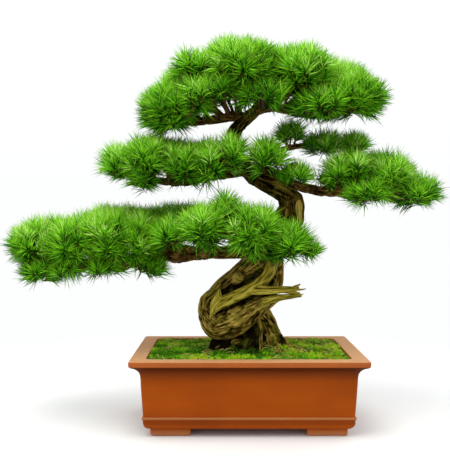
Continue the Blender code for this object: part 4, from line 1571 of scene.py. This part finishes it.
@dataclass
class MossBed:
    """The moss that covers the soil: a bumpy carpet under small sprigs."""

    tray: Tray
    gap: float = 0.0006
    soil_edge: float = 0.1365
    mound: float = 0.0085
    mound_centre: tuple[float, float] = (0.030, 0.010)
    mound_spread: float = 0.070
    thick: float = 0.0065
    columns: int = 190
    rows: int = 118
    sprigs: int = 7600

    @property
    def half(self) -> tuple[float, float]:
        """Half the bed's width and depth."""
        inset = self.tray.lip + self.gap
        return self.tray.half[0] - inset, self.tray.half[1] - inset

    def surface(self, x: np.ndarray, y: np.ndarray) -> np.ndarray:
        """Height of the moss.

        Args:
            x: Places to the right.
            y: Places to the back.

        Returns:
            The heights.
        """
        across = (x - self.mound_centre[0]) / self.mound_spread
        along = (y - self.mound_centre[1]) / self.mound_spread
        plain = self.soil_edge + self.mound * np.exp(-(across**2) - along**2) + self.thick
        edge = 1.0 - np.maximum(np.abs(x) / self.half[0], np.abs(y) / self.half[1]) ** 6
        where = np.stack([x, y, np.zeros_like(x)], axis=-1)
        cushions = layered(where * 34.0 + 5.0, 3, 41) - 0.5
        fine = layered(where * 170.0 + 9.0, 3, 47) - 0.5
        return plain + (0.0150 * cushions + 0.0040 * fine + 0.0026) * edge

    def _past(self, places: np.ndarray, half: float) -> np.ndarray:
        """How far places lie past where the bed's rounded corners begin."""
        return np.maximum(np.abs(places) - (half - self.tray.inner_corner), 0.0)

    def build(self) -> None:
        """Make the carpet, its sprigs and the litter on it."""
        corner, wide, deep = self.tray.inner_corner, self.columns, self.rows
        x, y = np.meshgrid(
            np.linspace(-1.0, 1.0, wide) * self.half[0], np.linspace(-1.0, 1.0, deep) * self.half[1]
        )
        over_x, over_y = self._past(x, self.half[0]), self._past(y, self.half[1])
        reach = np.hypot(over_x, over_y)
        pull = np.where(reach > corner, corner / np.maximum(reach, 1e-9), 1.0)
        x = np.where(over_x > 0, np.sign(x) * (self.half[0] - corner + over_x * pull), x)
        y = np.where(over_y > 0, np.sign(y) * (self.half[1] - corner + over_y * pull), y)
        low, count = np.full_like(x, self.soil_edge + 0.0005), x.size
        upper = np.stack([x, y, self.surface(x, y)], axis=-1).reshape(-1, 3)
        lower = np.stack([x, y, low], axis=-1).reshape(-1, 3)
        corners = [r * wide + c for r in range(deep - 1) for c in range(wide - 1)]
        faces = [(a, a + 1, a + wide + 1, a + wide) for a in corners]
        rim = list(range(wide)) + [r * wide + wide - 1 for r in range(1, deep)]
        rim += [(deep - 1) * wide + c for c in range(wide - 2, -1, -1)]
        rim += [r * wide for r in range(deep - 2, 0, -1)]
        for here, there in zip(rim, rim[1:] + rim[:1]):
            faces.append((here, here + count, there + count, there))
        faces.append(tuple(i + count for i in reversed(rim)))
        used = [*range(count), *sorted(i + count for i in rim)]
        index = {old: new for new, old in enumerate(used)}
        points = np.concatenate([upper, lower])[used]
        faces = [tuple(index[i] for i in face) for face in faces]
        carpet = Skin(points, faces, np.zeros(len(points)))
        announce(carpet.object("moss_carpet", Finish.CARPET), "moss", "moss")
        self._sprigs()
        self._litter()

    def _scatter(self, count: int, seed: int, margin: float = 0.0015) -> np.ndarray:
        """Random places on the bed.

        Args:
            count: How many.
            seed: Which random order.
            margin: Distance kept from the tray's wall.

        Returns:
            The places with their heights.
        """
        draw = np.random.default_rng(seed)
        x = draw.uniform(-1.0, 1.0, count) * (self.half[0] - margin)
        y = draw.uniform(-1.0, 1.0, count) * (self.half[1] - margin)
        past = np.hypot(self._past(x, self.half[0]), self._past(y, self.half[1]))
        keep = past < self.tray.inner_corner - margin
        x, y = x[keep], y[keep]
        return np.column_stack([x, y, self.surface(x, y)])

    def _sprigs(self) -> None:
        """Set small sprigs all over the carpet, fewer round the trunk and darkened there with
        painted shadow.
        """
        kinds = ((5, 0.0075, 0.9), (6, 0.0060, 1.1), (5, 0.0095, 0.7), (7, 0.0052, 1.2))
        kinds = [Brush(blades, length, 0.0015, lean, 0.001) for blades, length, lean in kinds]
        brushes = BrushSet("sprig", kinds, Finish.MOSS, 0.5)
        places = self._scatter(self.sprigs, 71)
        draw = np.random.default_rng(72)
        patch = layered(places * np.array([34.0, 34.0, 0.0]) + 5.0, 3, 41)
        bare = layered(places * np.array([52.0, 52.0, 0.0]) + 3.0, 3, 61)
        right = ease(places[:, 0], 0.03, 0.15)
        # Painted shadow: in an oval round the trunk's foot, sprigs are thinned out and get a darker
        # tone.
        across, along = (places[:, 0] + 0.034) / 0.082, (places[:, 1] + 0.034) / 0.052
        shade = 1.0 - ease(across**2 + along**2, 0.35, 1.25)
        keep = (bare + 0.09 * right < 0.66) & (draw.uniform(0.0, 1.0, len(places)) > 0.65 * shade)
        places, patch, right, shade = places[keep], patch[keep], right[keep], shade[keep]
        count = len(places)
        aims = np.column_stack([draw.normal(0, 0.22, (count, 2)), np.ones(count)])
        front = ease(-places[:, 1], 0.05, 0.11)
        tones = 0.38 + 1.8 * (patch - 0.5) + 0.12 * right + 0.24 * front - 0.42 * shade
        tones = (tones + draw.normal(0, 0.18, count)) * (1.0 - 0.75 * shade)
        spots = Spots(
            places - np.array([0.0, 0.0, 0.0012]),
            aims,
            draw.uniform(0.7, 1.25, count),
            np.clip(tones, 0.0, 1.0),
            draw.integers(0, 4, count),
            draw.uniform(0.0, TAU, count),
        )
        left = places[:, 0] < 0.0
        for side, chosen in (("left", left), ("right", ~left)):
            announce(brushes.set_out(f"moss_sprigs_{side}", spots.part(chosen), 0.80), "moss")
        brushes.clear()

    def _litter(self) -> None:
        """Lay dry needles and crumbs of bark on the moss."""
        draw, skins = random.Random(82), []
        for x, y, z in self._scatter(260, 81):
            turn, length = draw.uniform(0.0, TAU), draw.uniform(0.010, 0.030)
            if x < 0.03 and draw.random() < 0.6:
                continue
            dx, dy = math.cos(turn) * length / 2, math.sin(turn) * length / 2
            bow = draw.uniform(-0.003, 0.003)
            path = [
                (x - dx, y - dy, z + 0.0020, 0.0007),
                (x - bow * math.sin(turn), y + bow * math.cos(turn), z + 0.0060, 0.0008),
                (x + dx, y + dy, z + 0.0030, 0.0005),
            ]
            if all(abs(p[0]) < self.half[0] and abs(p[1]) < self.half[1] for p in path):
                skins.append(Wood(path, Texture.TWIG, 4, 0.006, draw.randrange(99)).skin())
        clad("moss_litter", skins, Finish.LITTER, "moss")


# ------------------------------------------------------------------------ wood


def grown(
    paths: Sequence[Path], texture: Texture, sides: int, fine: float, seed: int, dim: float = 0.0
) -> list[Skin]:
    """Give several stretches of like wood.

    Args:
        paths: Where they run.
        texture: How their surface is worked.
        sides: Points round each of them.
        fine: Distance between the rings of points.
        seed: Which noise the first has; each next one has the next.
        dim: How much darker they are.

    Returns:
        Their skins.
    """
    woods = (Wood(path, texture, sides, fine, seed + i, dim) for i, path in enumerate(paths))
    return [wood.skin() for wood in woods]


@dataclass
class Trunk:
    """The coiled living trunk with its roots."""

    fine: float = 0.0020
    upper_dim: float = 0.42
    wound_middle: Colour = (0.1030, -0.0060, 0.4300)
    wound_facing: Colour = (0.66, -0.75, 0.05)
    wound_half: tuple[float, float] = (0.0135, 0.0300)

    def build(self) -> None:
        """Make the trunk."""
        old = Texture.OLD_BARK
        skins = [
            Wood(SWEEP, old, 64, self.fine, 1, 0.0, self.upper_dim).skin(),
            Wood(STUMP, old, 56, self.fine, 2, 0.02).skin(),
            Wood(STRIP, old, 30, self.fine, 3).skin(),
            # The heartwood fill behind the deadwood is darkened as painted shade.
            *grown([HEARTWOOD, HEART_SPUR], old, 40, 0.0028, 4, 0.50),
            Wood(KNOB, Texture.TWIG, 30, 0.0016, 7, -0.20).skin(),
            self._wound(),
            *grown(ROOTS.values(), Texture.YOUNG_BARK, 24, 0.0024, 20, 0.05),
            # The roots under the lower limb are made dark as painted shade.
            *grown(UNDER_ROOTS, Texture.YOUNG_BARK, 20, 0.0026, 30, 0.85),
        ]
        clad("trunk_wood", skins, Finish.TRUNK, "bark", "trunk")

    def _wound(self) -> Skin:
        """Make the healed wound on the outside of the upper bend.

        Returns:
            An oval of bare wood within a rolled collar of bark.
        """
        facing = Vector(self.wound_facing).normalized()
        side = facing.cross(Vector((0.0, 0.0, 1.0))).normalized()
        rise = side.cross(facing)
        turn = np.arange(44) * TAU / 44
        ripple = 1.0 + 0.10 * np.sin(3.0 * turn + 0.7) + 0.05 * np.sin(7.0 * turn)
        rings, relief = [], []
        for share, height in WOUND_RINGS:
            out = share * ripple if share > 0.6 else share * np.ones_like(turn)
            rings.append(
                np.array(self.wound_middle)
                + np.outer(self.wound_half[0] * out * np.cos(turn), side)
                + np.outer(self.wound_half[1] * out * np.sin(turn), rise)
                + height * np.array(facing)
            )
            grain = noise(np.column_stack([np.cos(turn) * share * 6.0, turn * 0, turn * 0]), 5)
            relief.append(0.95 - 0.35 * grain if share < 0.75 else 0.30 - 0.2 * grain)
        skin = stack(rings)
        skin.relief = np.concatenate(relief)
        return skin


@dataclass
class Deadwood:
    """The bleached strip that winds up the trunk and its torn jin."""

    sides: int = 34
    fine: float = 0.0014

    def build(self) -> None:
        """Make the deadwood."""
        paths = [*DEADWOOD.values(), *TORN_ENDS]
        skins = grown(paths, Texture.BLEACHED, self.sides, self.fine, 40)
        clad("bleached_strip", skins, Finish.BLEACHED, "deadwood", "deadwood")


@dataclass
class Bough:
    """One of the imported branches, with its bark."""

    name: str
    paths: Sequence[Path]
    seed: int
    sides: int = 26
    fine: float = 0.0030

    def build(self) -> None:
        """Make the bough."""
        skins = grown(self.paths, Texture.YOUNG_BARK, self.sides, self.fine, self.seed)
        piece = self.name.replace("branch", "bough")
        clad(piece, skins, Finish.BRANCH, "branch_bark", self.name)


# --------------------------------------------------------------------- foliage


@dataclass
class Pad:
    """A pad of needle brushes on twigs that rise from its branch."""

    name: str
    floor: float
    lobes: Sequence[tuple[float, ...]]
    branch: Sequence[Path]
    seed: int
    needle: float = 0.045
    spacing: float = 0.0172
    inner_spacing: float = 0.0270
    tries: int = 5200
    depth: tuple[float, float] = (-0.126, 0.134)
    twig_cell: float = 0.046
    rows: list[tuple] = field(default_factory=list)

    @staticmethod
    def _sphere(draw: random.Random) -> np.ndarray:
        """Return a random direction."""
        z, turn = draw.uniform(-1.0, 1.0), draw.uniform(0.0, TAU)
        flat = math.sqrt(1.0 - z * z)
        return np.array([flat * math.cos(turn), flat * math.sin(turn), z])

    def _layer(self, draw: random.Random, sink: float, spacing: float, dim: float) -> None:
        """Throw brushes over the pad's round masses, apart from each other.

        Args:
            draw: Source of random numbers.
            sink: How far the brushes' tips lie below the pad's surface.
            spacing: Least distance between brushes' feet.
            dim: How much painted shade darkens the layer.
        """
        kept: list[np.ndarray] = []
        lobes = np.array([lobe for lobe in self.lobes if sink == 0.0 or min(lobe[3:]) > 0.042])
        if not len(lobes):
            return
        centres, halves = lobes[:, :3], lobes[:, 3:] - sink
        crest = max(lobe[2] + lobe[5] for lobe in self.lobes)
        areas = halves[:, 0] * halves[:, 1] + halves[:, 2] * (halves[:, 0] + halves[:, 1])
        for _ in range(self.tries):
            which = draw.choices(range(len(lobes)), areas)[0]
            way = self._sphere(draw)
            if way[2] < -0.62 or (way[2] < -0.28 and draw.random() < 0.6):
                continue
            tip = centres[which] + way * halves[which]
            normal = way / halves[which]
            normal /= np.linalg.norm(normal)
            lump = noise(tip[None] * 26.0 + 3.0, self.seed)[0]
            inside = (((tip - centres) / (halves - 0.006)) ** 2).sum(axis=1) < 1.0
            inside[which] = False
            if inside.any():
                continue
            lift, rise = (1.0, 0.75) if normal[2] > 0 else (0.55, 0.40)
            aim = normal * np.array([1.0, 1.0, lift]) * 0.9
            aim = aim + np.array([0.0, 0.0, rise]) + self._sphere(draw) * 0.24
            aim /= np.linalg.norm(aim)
            core = centres[which] - np.array([0.0, 0.0, 0.35 * halves[which][2]])
            length = min(self.needle, 0.96 * np.linalg.norm(tip - core))
            foot = tip - aim * length * 0.93 + normal * 0.010 * (lump - 0.55)
            foot[1] = min(max(foot[1], self.depth[0]), self.depth[1])
            if foot[2] < self.floor - 0.002 or tip[2] < self.floor - 0.008:
                continue
            if any(np.linalg.norm(foot - other) < spacing for other in kept):
                continue
            kept.append(foot)
            # Painted light: brushes high in the pad and facing up get lighter tones, and the sunk
            # inner layer gets darker ones.
            high = 0.50 * (tip[2] - self.floor) / (crest - self.floor) + 0.25 * (1.0 + way[2])
            tone = 0.26 + 0.54 * high + 0.44 * (lump - 0.5) - dim
            tone = min(1.0, max(0.0, tone + draw.gauss(0.0, 0.13)))
            size = draw.uniform(0.88, 1.10) * max(0.62, length / self.needle)
            self.rows.append((foot, aim, size, tone, draw.randrange(6), draw.uniform(0.0, TAU)))

    def build(self, brushes: BrushSet) -> int:
        """Make the pad's needles and twigs.

        Args:
            brushes: The brushes to set out.

        Returns:
            How many brushes it took.
        """
        draw = random.Random(self.seed)
        self._layer(draw, 0.0, self.spacing, 0.0)
        # The inner layer is darkened with painted shade.
        self._layer(draw, 0.020, self.inner_spacing, 0.22)
        self.rows.sort(key=lambda row: row[0][0])
        spots = Spots(*(np.array(column) for column in zip(*self.rows)))
        stem = self.name.replace("_foliage", "")
        announce(brushes.set_out(f"{stem}_needles_1", spots, 0.50), "needles", self.name)
        clad(f"{stem}_twigs", self._twigs(draw, spots), Finish.TWIG, "branch_bark")
        return len(self.rows)

    def _twigs(self, draw: random.Random, spots: Spots) -> list[Skin]:
        """Run twigs from the branch to the brushes.

        Args:
            draw: Source of random numbers.
            spots: Where the brushes stand.

        Returns:
            The twigs' skins.
        """
        wood = np.concatenate([np.column_stack(along_path(path, 0.006)) for path in self.branch])
        feet, skins = spots.feet, []
        cells: dict[tuple[int, int], list[int]] = {}
        for i, foot in enumerate(feet):
            key = math.floor(foot[0] / self.twig_cell), math.floor(foot[1] / self.twig_cell)
            cells.setdefault(key, []).append(i)

        def nearest(spot: np.ndarray) -> np.ndarray:
            """Return the place on the branch nearest to a spot, with its radius."""
            return wood[np.argmin(np.linalg.norm(wood[:, :3] - spot, axis=1))]

        for members in cells.values():
            middle, low = feet[members].mean(axis=0), feet[members][:, 2].min()
            hub = np.array([middle[0], middle[1], max(self.floor + 0.004, low - 0.004)])
            near = nearest(hub)
            rise = hub[2] - near[2]
            if rise > 0.022:
                wish = hub + (wood[0, :3] - hub) * min(0.55, 10.0 * (rise - 0.010))
                wish[2] = near[2]
                near = nearest(wish)
            start, thick = near[:3], min(0.0040, max(0.0018, near[3] * 0.5))
            sway = [draw.uniform(*ends) for ends in 2 * [(-0.008, 0.008)] + [(-0.006, 0.004)]]
            bend = (start + hub) / 2 + np.array(sway)
            path = [(*start, thick), (*bend, thick * 0.8), (*hub, thick * 0.6)]
            skins.append(Wood(path, Texture.TWIG, 7, 0.006, draw.randrange(999)).skin())
            for i in members:
                foot, aim = feet[i], spots.aims[i]
                side = foot - aim * 0.010
                side[2] = max(side[2], self.floor + 0.002)
                elbow = hub * 0.45 + side * 0.55
                elbow[2] -= draw.uniform(-0.002, 0.003)
                end = (*(foot + aim * 0.003), 0.0011)
                path = [(*hub, thick * 0.5), (*elbow, 0.0013), (*side, 0.0012), end]
                skins.append(Wood(path, Texture.TWIG, 5, 0.012, draw.randrange(999)).skin())
        return skins


def branch_of(pad: str) -> list[Path]:
    """Find the wood that carries a pad.

    Args:
        pad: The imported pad's name.

    Returns:
        The wood's paths.
    """
    if pad == "crown_top_foliage":
        crown = BRANCHES["crown_left_branch"] + BRANCHES["crown_right_branch"]
        return [*crown, SWEEP[-4:]]
    return BRANCHES[pad.replace("left_tip", "lower_left").replace("foliage", "branch")]


# --------------------------------------------------------------------- studio


@dataclass
class Studio:
    """A pale floor, soft light from above and the camera."""

    eye: Colour = (-0.0455, -1.466, 0.4094)
    tilt: float = math.radians(90.0 - 0.974)
    lens: float = 55.50
    floor_half: float = 9.0
    lit_height: float = 0.38

    def build(self) -> None:
        """Set up floor, sky, lamps and camera."""
        middle = middle_of_tray()
        mesh = bpy.data.meshes.new("studio_floor")
        corners = [Vector((x, y, 0.0)) for x, y in ((-1, -1), (1, -1), (1, 1), (-1, 1))]
        points = [tuple(corner * self.floor_half + middle) for corner in corners]
        mesh.from_pydata(points, [], [(0, 1, 2, 3)])
        mesh.materials.append(Finish.FLOOR.material)
        put("studio_floor", mesh)
        self._sky()
        for name, spot, size, power, colour in (
            ("overhead", (-0.35, -0.55, 2.1), 1.3, 24.0, (1.0, 0.985, 0.94)),
            ("left", (-1.9, -1.5, 1.5), 1.2, 7.0, (0.98, 0.99, 1.0)),
            ("back", (1.0, 1.8, 1.9), 1.2, 8.0, (1.0, 1.0, 1.0)),
        ):
            lamp = bpy.data.lights.new(name, "AREA")
            lamp.shape, lamp.size, lamp.energy, lamp.color = "DISK", size, power, colour
            light = put(name, lamp)
            light.location = Vector(spot) + middle
            aim = middle + Vector((0.0, 0.0, self.lit_height)) - light.location
            light.rotation_euler = aim.to_track_quat("-Z", "Y").to_euler()
        lens = bpy.data.cameras.new("camera")
        lens.lens, lens.sensor_width, lens.sensor_fit = self.lens, 36.0, "AUTO"
        camera = put("camera", lens)
        camera.location = Vector(self.eye) + middle
        camera.rotation_euler = (self.tilt, 0.0, 0.0)
        bpy.context.scene.camera = camera
        bpy.context.scene.view_settings.view_transform = "Standard"

    @staticmethod
    def _sky() -> None:
        """Set a white surround, brighter overhead."""
        world = bpy.data.worlds.new("surround")
        world.use_nodes = True
        sky = Nodes(world.node_tree)
        high = sky.axes(sky.out("ShaderNodeTexCoord", output="Generated"))[2]
        ends = {"Value": high, "From Min": 0.05, "From Max": 1.0, "To Min": 1.0, "To Max": 1.25}
        background = sky.tree.nodes["Background"]
        sky.feed(background.inputs["Color"], (0.985, 0.995, 1.0))
        sky.feed(background.inputs["Strength"], sky.out("ShaderNodeMapRange", {}, ends, "Result"))
        bpy.context.scene.world = world


def main() -> None:
    """Build the whole plant and its tray, piece by piece."""
    logging.basicConfig(level=logging.INFO, format="%(message)s")
    Studio().build()
    tray = Tray()
    tray.build()
    tray.dress_filling()
    MossBed(tray).build()
    Trunk().build()
    Deadwood().build()
    for i, (name, paths) in enumerate(BRANCHES.items()):
        Bough(name, paths, 60 + 3 * i).build()
    leans = (1.00, 1.20, 0.90, 1.30, 1.10, 0.95)
    kinds = [Brush(66, 0.045, 0.0023, lean, 0.016) for lean in leans]
    needles = BrushSet("needle_brush", kinds, Finish.NEEDLES, 1.1)
    total = 0
    for i, (name, (floor, lobes)) in enumerate(PADS.items()):
        total += Pad(name, floor, lobes, branch_of(name), 200 + i).build(needles)
    needles.clear()
    log.info("%d brushes of needles", total)


if __name__ == "__main__":
    main()
